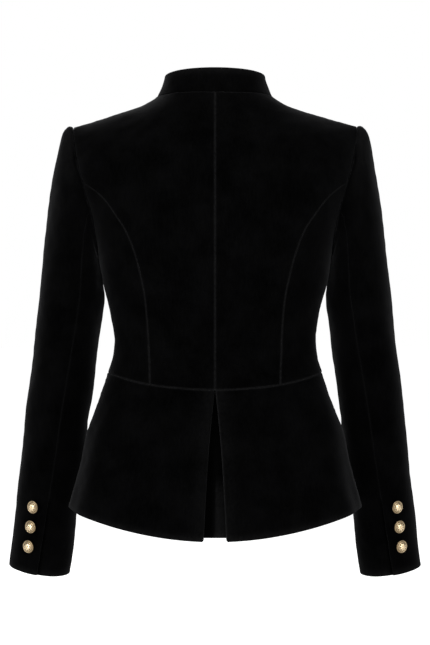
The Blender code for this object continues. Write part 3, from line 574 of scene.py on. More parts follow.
def filled(bottom, top, left, right, across, up):
    """A grid that fills four edges, whose points lie at these shares across and up."""
    u = across[None, :, None]
    v = up[:, None, None]
    grid = (1 - v) * bottom[None] + v * top[None]
    grid = grid + (1 - u) * left[:, None] + u * right[:, None]
    corners = (1 - v) * ((1 - u) * bottom[0] + u * bottom[-1])
    return grid - corners - v * ((1 - u) * top[0] + u * top[-1])


def side_panel(bottom, top, left, right):
    across, up = spots(line_length(top)), spots(line_length(right))
    edges = [spread(bottom, across), spread(top, across), spread(left, up), spread(right, up)]
    return filled(*edges, across, up)


def joined(lines):
    return np.concatenate([lines[0], lines[1][1:]])


def upright_panel(bottom, neck_and_shoulder, princess_and_armhole, centre_x, front):
    """The angles and levels of a back or front panel, from the waist up past its princess seam and
    its armhole. It is filled in two parts, so that it doesn't fold over itself."""
    top, side = joined(neck_and_shoulder), joined(princess_and_armhole)
    across = spots(line_length(top), line_length(neck_and_shoulder[0]))
    up = spots(line_length(side), line_length(princess_and_armhole[0]))
    bottom, top, side = spread(bottom, across), spread(top, across), spread(side, up)
    split = int(np.argmin(np.abs(side - princess_and_armhole[0][-1]).sum(axis=-1)))
    level = side[split, 1] - MIDDLE_DROP
    first = angle_at(centre_x, level, front)
    middle = np.linspace([first, level], side[split], LINE_POINTS)
    middle = spread(middle, across)
    low, high = up[:split + 1] / up[split], (up[split:] - up[split]) / (1 - up[split])
    low_left = spread(centre_line(bottom[0, 1], level, centre_x, front), low)
    high_left = spread(centre_line(level, top[0, 1], centre_x, front), high)
    lower = filled(bottom, middle, low_left, side[:split + 1], across, low)
    upper = filled(middle, top, high_left, side[split:], across, high)
    return np.concatenate([lower[:-1], upper])


# Relief: what the velvet does on its form


def make_lies():
    """Random smooth waves in space, the same on each run, for the uneven lie of the velvet."""
    waves = []
    for shortest, longest, most in LIES:
        wave_length = np.exp(random.uniform(np.log(shortest), np.log(longest), LIE_WAVES))
        direction = unit(random.normal(size=(LIE_WAVES, 3)))
        phase = random.uniform(0, 2 * np.pi, LIE_WAVES)
        waves.append((direction * (2 * np.pi / wave_length)[:, None], phase, most / math.sqrt(LIE_WAVES)))
    return waves


lie_waves = make_lies()


def lie_height(points):
    height = np.zeros(points.shape[:-1])
    for pull, phase, most in lie_waves:
        height += most * np.sin(points @ pull.T + phase).sum(axis=-1)
    return height


def along_crease(px, pz, x0, z0, x1, z1, width):
    """How strongly a crease is felt at each point: fully in its middle, fading to its ends."""
    run = np.array([x1 - x0, z1 - z0])
    length = np.linalg.norm(run)
    share = ((px - x0) * run[0] + (pz - z0) * run[1]) / length**2
    away = ((px - x0) * run[1] - (pz - z0) * run[0]) / length
    inside = np.clip(share, 0, 1)
    beyond = (share - inside) * length
    near = np.exp(-(away**2 + beyond**2) / width**2)
    faded = np.clip(CREASE_END + (1 - 2 * CREASE_END) * inside, 0, 1)
    return near * np.sin(np.pi * faded) ** CREASE_FADE


def body_relief(points, front):
    height = lie_height(points)
    for *course, most in FRONT_CREASES if front else BACK_CREASES:
        height += most * along_crease(points[..., 0], points[..., 2], *course)
    return height


def wobble(places, shortest, longest):
    """An uneven ripple along a line, between about -1 and 1."""
    value = np.zeros(np.shape(places))
    for _ in range(WOBBLE_WAVES):
        wave_length = random.uniform(shortest, longest)
        value = value + np.sin(places * 2 * np.pi / wave_length + random.uniform(0, 2 * np.pi))
    return value / WOBBLE_HIGHEST


# Making pieces of cloth


# How each edge of a piece is made: whether it is a free edge or a seam, and how much painted sheen
# its pile gets beside it, or painted shadow below 0
Edge = namedtuple("Edge", "free glow")
# Seams and hems get a painted sheen on their pile, and a seam in shade gets a painted shadow
SEAM = Edge(0.0, 1.0)
FAINT = Edge(0.0, 0.25)
PLAIN = Edge(0.0, 0.0)
PAINTED_SHADE_SEAM = Edge(0.0, -1.0)
HEM = Edge(1.0, 0.55)
HIDDEN = Edge(1.0, 0.0)
Edges = namedtuple("Edges", "left right bottom top")


def grid_lengths(grid, axis):
    steps = np.linalg.norm(np.diff(grid, axis=axis), axis=-1)
    first = np.zeros_like(np.take(steps, [0], axis=axis))
    return np.concatenate([first, np.cumsum(steps, axis=axis)], axis=axis)


def rolled(distance, width):
    """1 at the edge and 0 from the width on, along a quarter of a circle."""
    t = 1 - np.clip(distance / width, 0, 1)
    return 1 - np.sqrt(1 - t * t)


def moved_in(grid, amounts):
    """The grid with its edges moved inwards: the left and right, the bottom and the top."""
    left, right, bottom, top = amounts
    moved = grid.copy()
    moved[:, 0] += unit(grid[:, 1] - grid[:, 0]) * np.reshape(left, (-1, 1))
    moved[:, -1] += unit(grid[:, -2] - grid[:, -1]) * np.reshape(right, (-1, 1))
    moved[0] += unit(grid[1] - grid[0]) * bottom
    moved[-1] += unit(grid[-2] - grid[-1]) * top
    return moved


def quads(index):
    corners = (index[:-1, :-1], index[:-1, 1:], index[1:, 1:], index[1:, :-1])
    return stacked(*(corner.ravel() for corner in corners))


def new_mesh(name, points, faces, *materials):
    mesh = bpy.data.meshes.new(name)
    mesh.from_pydata(points, [], faces)
    mesh.shade_smooth()
    for material in materials:
        mesh.materials.append(material)
    return mesh


def add_attribute(mesh, name, values):
    made = mesh.attributes.new(name, "FLOAT", "POINT")
    made.data.foreach_set("value", values.astype(np.float32))
    mesh.update()


def add_object(name, data, place=None):
    made = bpy.data.objects.new(name, data)
    if place is not None:
        made.matrix_world = place
    bpy.context.scene.collection.objects.link(made)
    return made


def closed_mesh(name, outer, inner, glow):
    """A closed piece of cloth. The outer side and the rim are velvet, the inner side its back."""
    rows, columns = outer.shape[:2]
    index = np.arange(rows * columns).reshape(rows, columns)
    rim = np.concatenate([index[0, :-1], index[:-1, -1], index[-1, :0:-1], index[:0:-1, 0]])
    after = np.roll(rim, -1)
    inside = rows * columns
    faces = np.concatenate([
        quads(index),
        stacked(after, rim, rim + inside, after + inside),
        quads(index + inside)[:, ::-1],
    ])
    facing = np.cross(outer[:-1, 1:] - outer[:-1, :-1], outer[1:, :-1] - outer[:-1, :-1])
    if (facing * (outer - inner)[:-1, :-1]).sum() < 0:
        faces = faces[:, ::-1]
    points = np.concatenate([outer.reshape(-1, 3), inner.reshape(-1, 3)])
    mesh = new_mesh(name, points.tolist(), faces.tolist(), velvet, velvet_back)
    back_faces = np.zeros(len(faces), np.int32)
    back_faces[-(rows - 1) * (columns - 1):] = 1
    mesh.polygons.foreach_set("material_index", back_faces)
    # The edge attribute carries the pile's painted sheen above 0 and its painted shadow below 0
    add_attribute(mesh, "edge", np.concatenate([glow.ravel(), glow.ravel()]))
    return mesh


def dress(node, outer, inner, relief, edges, hangs_from, glow=0.0, vent=None, normal=None, tucked=0):
    """Replaces a cloth node by a fine piece between these two grids, moved out by the relief, with
    its four edges rolled into their seams or turned. The vent is how far each row's left and right
    edge is free, where a seam becomes the edge of a vent. The last rows can be tucked into the
    seam at the top."""
    thickness = np.linalg.norm(outer - inner, axis=-1)
    if normal is None:
        normal = unit(outer - inner)
    across = grid_lengths(outer, 1)
    up = grid_lengths(outer, 0)
    seam_row = len(outer) - 1 - tucked
    from_edge = Edges(
        (across, up),
        (across[:, -1:] - across, up),
        (up, across),
        (np.clip(up[seam_row] - up, 0, None), across),
    )
    sink = np.zeros(outer.shape[:2])
    lift = np.zeros(outer.shape[:2])
    shine = np.zeros(outer.shape[:2]) + glow
    insets = []
    for side, edge in edges._asdict().items():
        distance, along = getattr(from_edge, side)
        free = np.full(len(outer), edge.free)
        if vent is not None and side in vent:
            free = np.maximum(free, vent[side])
        free = free[:, None]
        half = (thickness - RIM) / 2
        turned = half * rolled(distance, half)
        seamed = SEAM_DEPTH * rolled(distance, SEAM_WIDTH)
        sink = np.maximum(sink, free * turned + (1 - free) * seamed)
        lift = np.maximum(lift, free * turned)
        ripple = wobble(along, *SHORT_PUCKERS) * wobble(along, *LONG_PUCKERS)
        fade = np.exp(-((distance / PUCKER_REACH) ** 2))
        relief = relief + (1 - free) * PUCKER_HEIGHT * ripple * fade
        # Painted sheen of the pile beside seams and hems, less where a seam opens into a vent, or painted
        # shadow below 0
        reach = HEM_REACH if edge is HEM else GLOW_REACH if edge.glow > 0 else SHADOW_REACH
        painted_light = edge.glow * (1 - VENT_LESS_SHEEN * (free - edge.free))
        shine = shine + painted_light * np.exp(-((distance / reach) ** 2))
        insets.append(free[:, 0] * (SEAM_GAP + SEAM_TUCK) - SEAM_TUCK)
    insets[2:] = [float(inset[0]) for inset in insets[2:]]
    outer = moved_in(outer + normal * (relief - sink)[..., None], [SEAM_GAP] * 4)
    inner = moved_in(inner + normal * (relief + lift)[..., None], insets)
    mesh = closed_mesh("cloth_" + node, outer, inner, np.clip(shine, -1, MOST_GLOW))
    piece = add_object("cloth_" + node, mesh)
    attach(piece, "root")
    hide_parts(node)


def mirrored(grid, side):
    return grid * np.array([side, 1, 1])


def on_both_sides(name, domain, front, edges, hangs_from, sunk_side=None):
    """A panel of the body given by its angles and levels, on the left and mirrored on the right."""
    angle, level = domain[..., 0], domain[..., 1]
    normal = body_normal(angle, level)
    base = body_point(angle, level) + normal * flute_height(angle, level)[..., None]
    for side_name, side in SIDES.items():
        outer = base
        if side_name == sunk_side:
            outer = base - normal * sunk_under_lap(base[..., 0])[..., None]
        inner = outer - normal * CLOTH
        outer, inner = mirrored(outer, side), mirrored(inner, side)
        others = [f"{other}_{side_name}" for other in hangs_from]
        dress(f"{name}_{side_name}", outer, inner, body_relief(outer, front), edges, others)


def sunk_under_lap(x):
    """How deep the left front lies, under the lap of the right front."""
    return SUNK * ease((SINK_END - x) / (SINK_END - SINK_START))


# Bodice


def panels(name, front, seam, joint_deg, shoulder_deg, centre_x, centre_edge, hangs_from, sunk_side=None):
    """The back or the front, and the side panel beside it."""
    princess = princess_line(seam, joint_deg, front)
    first = float(angle_at(centre_x, waist_z(np.pi if front else 0), front))
    neck_deg = math.degrees(math.asin(centre_x / NECK_HALF_WIDTH))
    top = [neck_line(neck_deg, front), shoulder_line(front)]
    side = [princess, armhole_line(joint_deg, shoulder_deg, front)]
    domain = upright_panel(waist_line(first, princess[0, 0]), top, side, centre_x, front)
    on_both_sides(name, domain, front, Edges(centre_edge, SEAM, SEAM, SEAM), [hangs_from], sunk_side)
    armhole = armhole_line(joint_deg, 180, front)
    domain = side_panel(waist_line(princess[0, 0], np.pi / 2), armhole, princess, side_seam())
    on_both_sides("side_" + name, domain, front, Edges(SEAM, FAINT, SEAM, SEAM), [name])


# Peplum


def at_depth(x, level, depth):
    """A point behind the back's outer surface, and the flute there left out."""
    angle = angle_at(x, level)
    return body_point(angle, level) - body_normal(angle, level) * np.asarray(depth)[..., None]


def fold_column(down, turned, reach, across, depth):
    """One line of the pleat, down the peplum, as in the model."""
    top, hem = float(waist_z(0.0)), float(hem_z(0.0)) + RETURN_HEM_RISE * turned
    level = top + (hem - top) * down
    x = pleat_edge(level) + across + reach * (return_width(level) - FOLD_RADIUS)
    return at_depth(x, level, np.full(len(level), depth))


def peplum_back():
    top, hem = float(waist_z(0.0)), float(hem_z(0.0))
    down = spots(top - hem)
    columns = []
    for reach in np.linspace(1, 0, RETURN_COLUMNS, endpoint=False):
        depths = (2 * FOLD_RADIUS, 2 * FOLD_RADIUS - CLOTH)
        grids = [fold_column(down, 1, reach, FOLD_RADIUS, depth) for depth in depths]
        columns.append((*grids, 0, 0, 0, 0))
    for turn in np.linspace(0, math.pi, FOLD_STEPS + 1):
        sine, cosine = math.sin(turn), math.cos(turn)
        grids = [
            fold_column(down, (1 + cosine) / 2, 0, FOLD_RADIUS - radius * sine, FOLD_RADIUS + radius * cosine)
            for radius in (FOLD_RADIUS, FOLD_RADIUS - CLOTH)
        ]
        near = float(ease(turn / math.pi))
        columns.append((*grids, 0, sine**2, FOLD_HALO * near, near))
    level = top + (hem - top) * down
    first = angle_at(pleat_edge(level) + FOLD_RADIUS, level)
    width = line_length(level_line(first[-1], np.pi / 2, hem))
    # The fold itself takes the place of the closest columns at this edge
    shares = spots(width)[len(NEAR_EDGE) - FOLD_NEAR:]
    shares = (shares - shares[0]) / (1 - shares[0])
    for share in shares[1:]:
        angle = first + (np.pi / 2 - first) * share
        level = peplum_level(angle, down)
        normal = body_normal(angle, level)
        point = body_point(angle, level) + normal * flute_height(angle, level)[:, None]
        away = share * width
        halo = FOLD_HALO * math.exp(-((away / HALO_REACH) ** 2))
        sag = math.exp(-((away / SAG_REACH) ** 2))
        columns.append((point, point - normal * CLOTH, float(ease(away / FOLD_FLAT)), 0, halo, sag))
    outer, inner, *weights = zip(*columns)
    outer, inner = np.stack(outer, axis=1), np.stack(inner, axis=1)
    mask, glow, halo, sag = np.array(weights, float)
    for grid in (outer, inner):
        grid[..., 2] -= HEM_SAG * down[:, None] ** 2 * sag
    for side_name, side in SIDES.items():
        out, back = mirrored(outer, side), mirrored(inner, side)
        relief = body_relief(out, False) * mask
        # A painted highlight along the crest of each fold, with a wider painted halo beside it
        dress(
            f"peplum_back_{side_name}", out[::-1], back[::-1], relief[::-1],
            Edges(HIDDEN, FAINT, HEM, SEAM), [f"back_{side_name}"], FOLD_GLOW[side_name] * glow + halo,
        )


def pleat_underlay():
    top, hem = float(waist_z(0.0)), float(hem_z(0.0)) + UNDERLAY_HEM_RISE
    grown = spots(top - hem)
    level = top + (hem - top) * grown
    lit_from, lit_to = UNDERLAY_LIT_DOWN
    lit_down = ease((grown - lit_from) / (lit_to - lit_from))
    columns = []
    for share in 2 * spots(UNDERLAY_WIDTH) - 1:
        x = share * (pleat_edge(level) + return_width(level))
        depth = 2 * FOLD_RADIUS + UNDERLAY_GAP + UNDERLAY_BELLY * grown * (1 - share * share)
        # Painted shadow over the underlay, with painted light on its lower part towards the wearer's right
        across = (x / pleat_edge(level) - UNDERLAY_LIT_FROM) / (UNDERLAY_LIT_TO - UNDERLAY_LIT_FROM)
        glow = UNDERLAY_LIT * ease(across) * lit_down - 1
        columns.append((at_depth(x, level, depth), at_depth(x, level, depth + CLOTH), glow))
    outer, inner, glow = (np.stack(grid, axis=1)[::-1] for grid in zip(*columns))
    edges = Edges(HIDDEN, HIDDEN, HEM, PAINTED_SHADE_SEAM)
    dress("pleat_underlay", outer, inner, np.zeros(glow.shape), edges, ["back_left", "back_right"], glow)


def peplum_front():
    down = spots(float(waist_z(np.pi) - hem_z(np.pi)))
    lap_edge = angle_at(-LAP, hem_z(np.pi), True)
    across = spots(line_length(level_line(np.pi / 2, lap_edge, HEM_SIDE_Z)))
    rows = []
    for share in down[::-1]:
        last = angle_at(-LAP, peplum_level(np.pi, share), True)
        angle = np.pi / 2 + (last - np.pi / 2) * across
        rows.append(stacked(angle, peplum_level(angle, share)))
    on_both_sides("peplum_front", np.stack(rows), True, Edges(FAINT, HEM, HEM, SEAM), ["front"], "left")


# Collar


def neck_ring(degrees):
    """A point of the neckline, from the centre back at 0 degrees round to the centre front at 180."""
    degrees = np.asarray(degrees, float)
    back = at(body_point, *neck_x_z(degrees, False), False)
    front = at(body_point, *neck_x_z(180 - degrees, True), True)
    return np.where((degrees <= 90)[..., None], back, front)


def collar_point(degrees, share):
    """A point of the collar's outer side. The share is 0 at the seam and 1 at the top edge."""
    turn = np.radians(degrees)
    cosine = np.cos(turn)
    foot = neck_ring(degrees)
    at_back = cosine >= 0
    top_x = COLLAR_TOP_HALF_WIDTH * np.sin(turn)
    top_y = COLLAR_TOP_Y + np.where(at_back, COLLAR_TOP_BACK_REACH, COLLAR_TOP_FRONT_REACH) * cosine
    rise = np.where(at_back, COLLAR_TOP_BACK_RISE * cosine, -COLLAR_TOP_FRONT_DROP * cosine**2)
    top_z = COLLAR_TOP_SIDE_Z + rise
    top = stacked(top_x, top_y, top_z)
    lean = 1 - np.clip(1 - share, 0, 1) ** COLLAR_LEAN_POWER
    return foot + (top - foot) * stacked(lean, lean, share)


def collar():
    end_deg = 180 - math.degrees(math.asin(COLLAR_HALF_OPENING / NECK_HALF_WIDTH))
    corner_deg = math.degrees(COLLAR_CORNER / COLLAR_TOP_HALF_WIDTH)
    near_end = corner_deg * (1 - np.cos(np.linspace(0, math.pi / 2, COLLAR_CORNER_COLUMNS + 1)))
    to_corner = np.linspace(0, end_deg - corner_deg, COLLAR_COLUMNS + 1)
    half = np.concatenate([to_corner[:-1], (end_deg - near_end)[::-1]])
    full_height = COLLAR_TOP_SIDE_Z - NECK_SIDE_Z
    from_corner = np.clip((end_deg - half) / corner_deg, 0, 1)
    drop = COLLAR_CORNER * (1 - np.sqrt(1 - (1 - from_corner) ** 2)) / full_height
    tuck = COLLAR_TUCK / full_height
    share = (spots(full_height) * (1 + tuck) - tuck)[:, None] * (1 - drop)[None]
    degrees = np.broadcast_to(half, share.shape)
    outer = collar_point(degrees, share)
    step = SURFACE_STEP
    around = collar_point(degrees + step, share) - collar_point(degrees - step, share)
    above = np.minimum(share + step, 1)
    up = collar_point(degrees, above) - collar_point(degrees, above - 2 * step)
    normal = np.cross(up, around)
    normal[0, :, 2] = 0
    normal = unit(normal)
    outer = outer + np.array([0, 0, COLLAR_SEAT])
    inner = outer - normal * COLLAR_CLOTH
    grids = [np.concatenate([mirrored(grid[:, :0:-1], -1), grid], axis=1) for grid in (outer, inner)]
    risen = np.clip(np.concatenate([share[:, :0:-1], share], axis=1), 0, 1)
    relief = (1 - COLLAR_STIFFNESS * ease(risen)) * lie_height(grids[0])
    dress("collar", *grids, relief, Edges(HEM, HEM, PAINTED_SHADE_SEAM, HEM), ["back_left", "back_right"])


# Sleeves


rings = np.array(RINGS)
RING_ALONG = lengths((rings[:, :2] + rings[:, 2:4]) / 2)
SLEEVE_LENGTH = RING_ALONG[-1]
outer_x, outer_z, inner_x, inner_z, middle_y, half_depth, back_drop, hindarm_deg = (
    smooth_curve(RING_ALONG, values) for values in rings.T
)


def ring_point(along, angle):
    outer = stacked(outer_x(along), outer_z(along))
    inner = stacked(inner_x(along), inner_z(along))
    across = (outer + inner) / 2 + (outer - inner) / 2 * np.cos(angle)[..., None]
    y = middle_y(along) + half_depth(along) * np.sin(angle)
    z = across[..., 1] - back_drop(along) * np.sin(angle)
    return stacked(across[..., 0], y, z)


def at_armhole(measure, angle):
    """The body's point or normal at the armhole's edge, by the angle round the sleeve."""
    degrees = np.degrees(angle) % 360
    x, z = armhole_xz(degrees)
    return np.where((degrees > 180)[..., None], at(measure, x, z, True), at(measure, x, z, False))


def sleeve_point(along, angle):
    along, angle = np.broadcast_arrays(np.asarray(along, float), np.asarray(angle, float))
    start = ring_point(np.zeros(along.shape), angle)
    edge = at_armhole(body_point, angle) + np.array([SLEEVE_CLEARANCE, 0, 0])
    return ring_point(along, angle) + (edge - start) * (1 - ease(along / CAP_BLEND))[..., None]


def sleeve_normal(along, angle):
    step = SURFACE_STEP
    around = sleeve_point(along, angle + step) - sleeve_point(along, angle - step)
    after = np.minimum(along + step, SLEEVE_LENGTH)
    before = np.maximum(along - step, 0)
    down = sleeve_point(after, angle) - sleeve_point(before, angle)
    return unit(np.cross(down, around))


def vent_share(along, ramp=VENT_RAMP):
    """0 above the vent and 1 beside it."""
    return ease((along - (SLEEVE_LENGTH - VENT_LENGTH)) / ramp)


def from_vent(along, angle):
    """How far a point lies from the hindarm seam, and how far past it, as an angle."""
    seam = np.radians(hindarm_deg(along))
    away = np.linalg.norm(sleeve_point(along, angle) - sleeve_point(along, seam), axis=-1)
    return away, angle - seam


def vent_raise(along, angle):
    """The doubled cloth of the cuff vent, along the hindarm edge of the upper sleeve."""
    away, past = from_vent(along, angle)
    near_edge = 1 - ease((away - VENT_FLAT) / (VENT_WIDTH - VENT_FLAT))
    return VENT_RAISE * np.where(past > -math.pi / 2, near_edge, 0) * vent_share(along)


def under_vent(along, angle):
    """How deep the under sleeve lies where it passes under the vent's edge, and its shadow there."""
    away, past = from_vent(along, angle)
    away = np.where(past > 0, away, 0)
    sink = VENT_SINK * (1 - ease(away / VENT_WIDTH)) * vent_share(along, UNDERLAP_RAMP)
    return sink, np.exp(-((away / VENT_SHADOW) ** 2)) * vent_share(along)


def from_top(angle):
    """Degrees round the sleeve from its top, where it meets the shoulder seam."""
    return (np.degrees(angle) + 180) % 360 - 180


def head_glow(along, angle):
    """How far the pile of the sleeve head, which is eased in and stands up, looks paler with a painted sheen.
    """
    near_top = 1 - ease(np.abs(from_top(angle)) / HEAD_HALF_DEG)
    return HEAD_GLOW * (1 - ease(along / HEAD_REACH)) * near_top


def armhole_shadow(along, angle):
    """How deep in shadow the sleeve is beside the armhole, below its head."""
    lower = ease((np.abs(from_top(angle)) - SHADOW_FROM_DEG) / (SHADOW_TO_DEG - SHADOW_FROM_DEG))
    return lower * np.exp(-((along / SHADOW_REACH) ** 2))


def gathers(along, angle):
    """Small uneven gathers at the sleeve head."""
    degrees = from_top(angle)
    fade = (1 - ease(along / GATHER_LENGTH)) * (1 - ease(np.abs(degrees) / GATHER_HALF_DEG))
    return GATHER_HEIGHT * fade * wobble(degrees * SLEEVE_DEGREE, *GATHER_WAVES)


def sleeve_relief(points, along, angle, side):
    degrees = np.degrees(angle) % 360
    height = lie_height(points) + gathers(along, angle)
    height = height + press[side](along) * np.exp(-(((degrees - PRESS_DEG) / PRESS_WIDTH_DEG) ** 2))
    for along0, deg0, along1, deg1, width, most in SLEEVE_CREASES[side]:
        course = (along0, deg0 * SLEEVE_DEGREE, along1, deg1 * SLEEVE_DEGREE, width)
        height = height + most * along_crease(along, degrees * SLEEVE_DEGREE, *course)
    return height


def tucked_rows(outer, inner, angle):
    """Both grids with a few rows more, turned into the armhole along the body's edge."""
    normal = at_armhole(body_normal, angle)
    through = inner[-1] - outer[-1]
    down = through - normal * (through * normal).sum(axis=-1, keepdims=True)
    outer_rows, inner_rows = [outer], [inner]
    for depth in TUCK_DEPTHS:
        outer_rows.append((outer[-1] - normal * depth)[None])
        inner_rows.append((outer[-1] + down - normal * (SLEEVE_CLOTH + TUCK_TAPER * depth))[None])
    return np.concatenate(outer_rows), np.concatenate(inner_rows)


def with_tuck(rows):
    """Values for the tucked rows too, the same as those of the last row before them."""
    return np.concatenate([rows, np.repeat(rows[-1:], len(TUCK_DEPTHS), axis=0)])


def sleeves():
    along = spots(SLEEVE_LENGTH)[::-1] * SLEEVE_LENGTH
    hindarm = hindarm_deg(along)
    forearm = np.full(len(along), FOREARM_DEG)
    underlap = np.degrees(VENT_UNDERLAP / half_depth(along)) * vent_share(along, UNDERLAP_RAMP)
    free = np.concatenate([vent_share(along), np.zeros(len(TUCK_DEPTHS))])
    pieces = (
        ("sleeve_upper", forearm - 360, hindarm, UPPER_SLEEVE_WIDTH, {"right": free}),
        ("sleeve_under", hindarm - underlap, forearm, UNDER_SLEEVE_WIDTH, {"left": free}),
    )
    for name, first_deg, last_deg, width, vent in pieces:
        angle = np.radians(first_deg[:, None] + (last_deg - first_deg)[:, None] * spots(width)[None])
        here = np.broadcast_to(along[:, None], angle.shape)
        normal = sleeve_normal(here, angle)
        outer = sleeve_point(here, angle)
        # The inner side stays clear of the row that turns into the armhole
        inner_here = np.minimum(np.hypot(here, SLEEVE_CLOTH), SLEEVE_LENGTH)
        inner = sleeve_point(inner_here, angle) - sleeve_normal(inner_here, angle) * SLEEVE_CLOTH
        # Painted shadow beside the armhole and under the vent's edge, and painted sheen on the sleeve head
        glow = -armhole_shadow(here, angle)
        if name == "sleeve_upper":
            outer = outer + normal * vent_raise(here, angle)[..., None]
            glow = glow + head_glow(here, angle)
        else:
            sink, shadow = under_vent(here, angle)
            outer, inner = outer - normal * sink[..., None], inner - normal * sink[..., None]
            glow = glow - shadow
        outer, inner = tucked_rows(outer, inner, angle[-1])
        for side_name, side in SIDES.items():
            out, back = mirrored(outer, side), mirrored(inner, side)
            relief = with_tuck(sleeve_relief(out[:-len(TUCK_DEPTHS)], here, angle, side))
            dress(
                f"{name}_{side_name}", out, back, relief, Edges(FAINT, FAINT, HEM, PLAIN),
                [f"back_{side_name}", f"front_{side_name}"], with_tuck(glow), vent,
                mirrored(with_tuck(normal), side), len(TUCK_DEPTHS),
            )


# Buttons: a cast dome with a roped rim, a ring of beads and a rosette of eight petals

BUTTON_AROUND = 88
BUTTON_RADIUS = 0.0085
BUTTON_UNDERSIDE = [
    (0, 0), (0.0024, 0), (0.0025, 0.0003), (0.0025, 0.0017), (0.0028, 0.002), (0.006, 0.0021),
    (0.008, 0.0024), (0.0084, 0.0028),
]
DOME_FOOT_Z = 0.0034
DOME_RISE = 0.0031
DOME_REACH = 0.0069
RIM_Z = 0.0037
RIM_SLOPE = 0.5
DOME_RINGS = 40
ROPE_RADIUS = 0.0077
ROPE_WIDTH = 0.0008
ROPE_HEIGHT = 0.00060
ROPE_TURNS = 30
ROPE_GROOVE = 0.24
ROPE_SLANT = 1.6
BEAD_RING = 0.0061
BEAD_SIZE = 0.00052
BEAD_HEIGHT = 0.00032
BEADS = 28
PETALS = 8
PETAL_START = 0.0009
PETAL_END = 0.0052
PETAL_HEIGHT = 0.00024
PETAL_FULLNESS = 0.96
PETAL_LEAN = 0.75
PETAL_ROUND = 0.6
VEIN_DEPTH = 0.35
VEIN_WIDTH = 0.16
BOSS_RADIUS = 0.0011
BOSS_HEIGHT = 0.00035
# Painted light on the crown and painted shade at the rim; the recesses keep a share of it, darkened by patina
CROWN_PAINTED_LIGHT = 1.0
RIM_PAINTED_LIGHT = 0.05
FIELD_WEAR = 0.15


def dome(radius):
    """The button's plain form: a round dome inside a flat rim."""
    crown = DOME_FOOT_Z + DOME_RISE * np.sqrt(np.clip(1 - (radius / DOME_REACH) ** 2, 0, 1))
    edge = RIM_Z - RIM_SLOPE * np.clip(radius - ROPE_RADIUS, 0, 1)
    return np.where(radius < DOME_REACH - ROPE_WIDTH / 4, crown, edge)


def ornament(radius, angle):
    """The height of the cast ornament over the plain form."""
    from_rope = (radius - ROPE_RADIUS) / ROPE_WIDTH
    twist = 1 - ROPE_GROOVE + ROPE_GROOVE * np.cos(ROPE_TURNS * angle + ROPE_SLANT * from_rope)
    height = ROPE_HEIGHT * np.sqrt(np.clip(1 - from_rope**2, 0, 1)) * twist
    aside = ((angle * BEADS / (2 * np.pi)) % 1 - 0.5) * 2 * np.pi * BEAD_RING / BEADS
    bead = np.clip(1 - (aside**2 + (radius - BEAD_RING) ** 2) / BEAD_SIZE**2, 0, 1)
    height = np.maximum(height, BEAD_HEIGHT * np.sqrt(bead))
    out = np.clip((radius - PETAL_START) / (PETAL_END - PETAL_START), 0, 1)
    petal_half = (np.pi / PETALS) * PETAL_FULLNESS * np.sin(np.pi * out**PETAL_LEAN) ** PETAL_ROUND
    turn = (angle * PETALS / (2 * np.pi)) % 1 - 0.5
    side = np.abs(turn) * 2 * np.pi / PETALS / np.maximum(petal_half, 1e-6)
    petal = np.clip(1 - side**2, 0, 1) * np.where((out > 0) & (out < 1), 1, 0)
    vein = 1 - VEIN_DEPTH * np.exp(-((side / VEIN_WIDTH) ** 2))
    height = np.maximum(height, PETAL_HEIGHT * np.sqrt(petal) * vein)
    boss = np.clip(1 - (radius / BOSS_RADIUS) ** 2, 0, 1)
    return np.maximum(height, BOSS_HEIGHT * np.sqrt(boss))


def button_mesh():
    angle = np.linspace(0, 2 * np.pi, BUTTON_AROUND, endpoint=False)
    rings = [(radius, height, 0 * angle) for radius, height in BUTTON_UNDERSIDE[1:]]
    for radius in np.linspace(BUTTON_RADIUS, 0, DOME_RINGS + 1)[:-1]:
        raised = ornament(radius, angle)
        # Painted light, bright on the crown with a painted shade towards the rim, times the patina in the
        # recesses
        outwards = (radius / BUTTON_RADIUS) ** 2
        painted_light = CROWN_PAINTED_LIGHT * (1 - outwards) + RIM_PAINTED_LIGHT * outwards
        shade = painted_light * (FIELD_WEAR + (1 - FIELD_WEAR) * np.clip(raised / PETAL_HEIGHT, 0, 1))
        rings.append((radius, dome(radius) + raised, shade))
    points = [(0.0, 0.0, 0.0)]
    for radius, height, _ in rings:
        points += stacked(radius * np.cos(angle), radius * np.sin(angle), height).tolist()
    points.append((0.0, 0.0, DOME_FOOT_Z + DOME_RISE + BOSS_HEIGHT))
    faces = []
    last = len(points) - 1
    final = last - BUTTON_AROUND
    for i in range(BUTTON_AROUND):
        j = (i + 1) % BUTTON_AROUND
        faces.append((0, 1 + j, 1 + i))
        faces.append((last, final + i, final + j))
        for start in range(1, final, BUTTON_AROUND):
            faces.append((start + i, start + j, start + BUTTON_AROUND + j, start + BUTTON_AROUND + i))
    mesh = new_mesh("cast_button", points, faces, cast_gold)
    add_attribute(mesh, "raised", np.concatenate([[0.0], *(shade for _, _, shade in rings), [1.0]]))
    return mesh


def add_button(node, mesh, seat, normal):
    facing = Vector(normal).to_track_quat("Z", "Y").to_matrix().to_4x4()
    turn = Matrix.Rotation(float(random.uniform(0, 2 * np.pi)), 4, "Z")
    place = Matrix.Translation(Vector(seat + normal * BUTTON_SEAT)) @ facing @ turn
    piece = add_object("cast_" + node, mesh, place)
    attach(piece, "root")
    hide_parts(node)


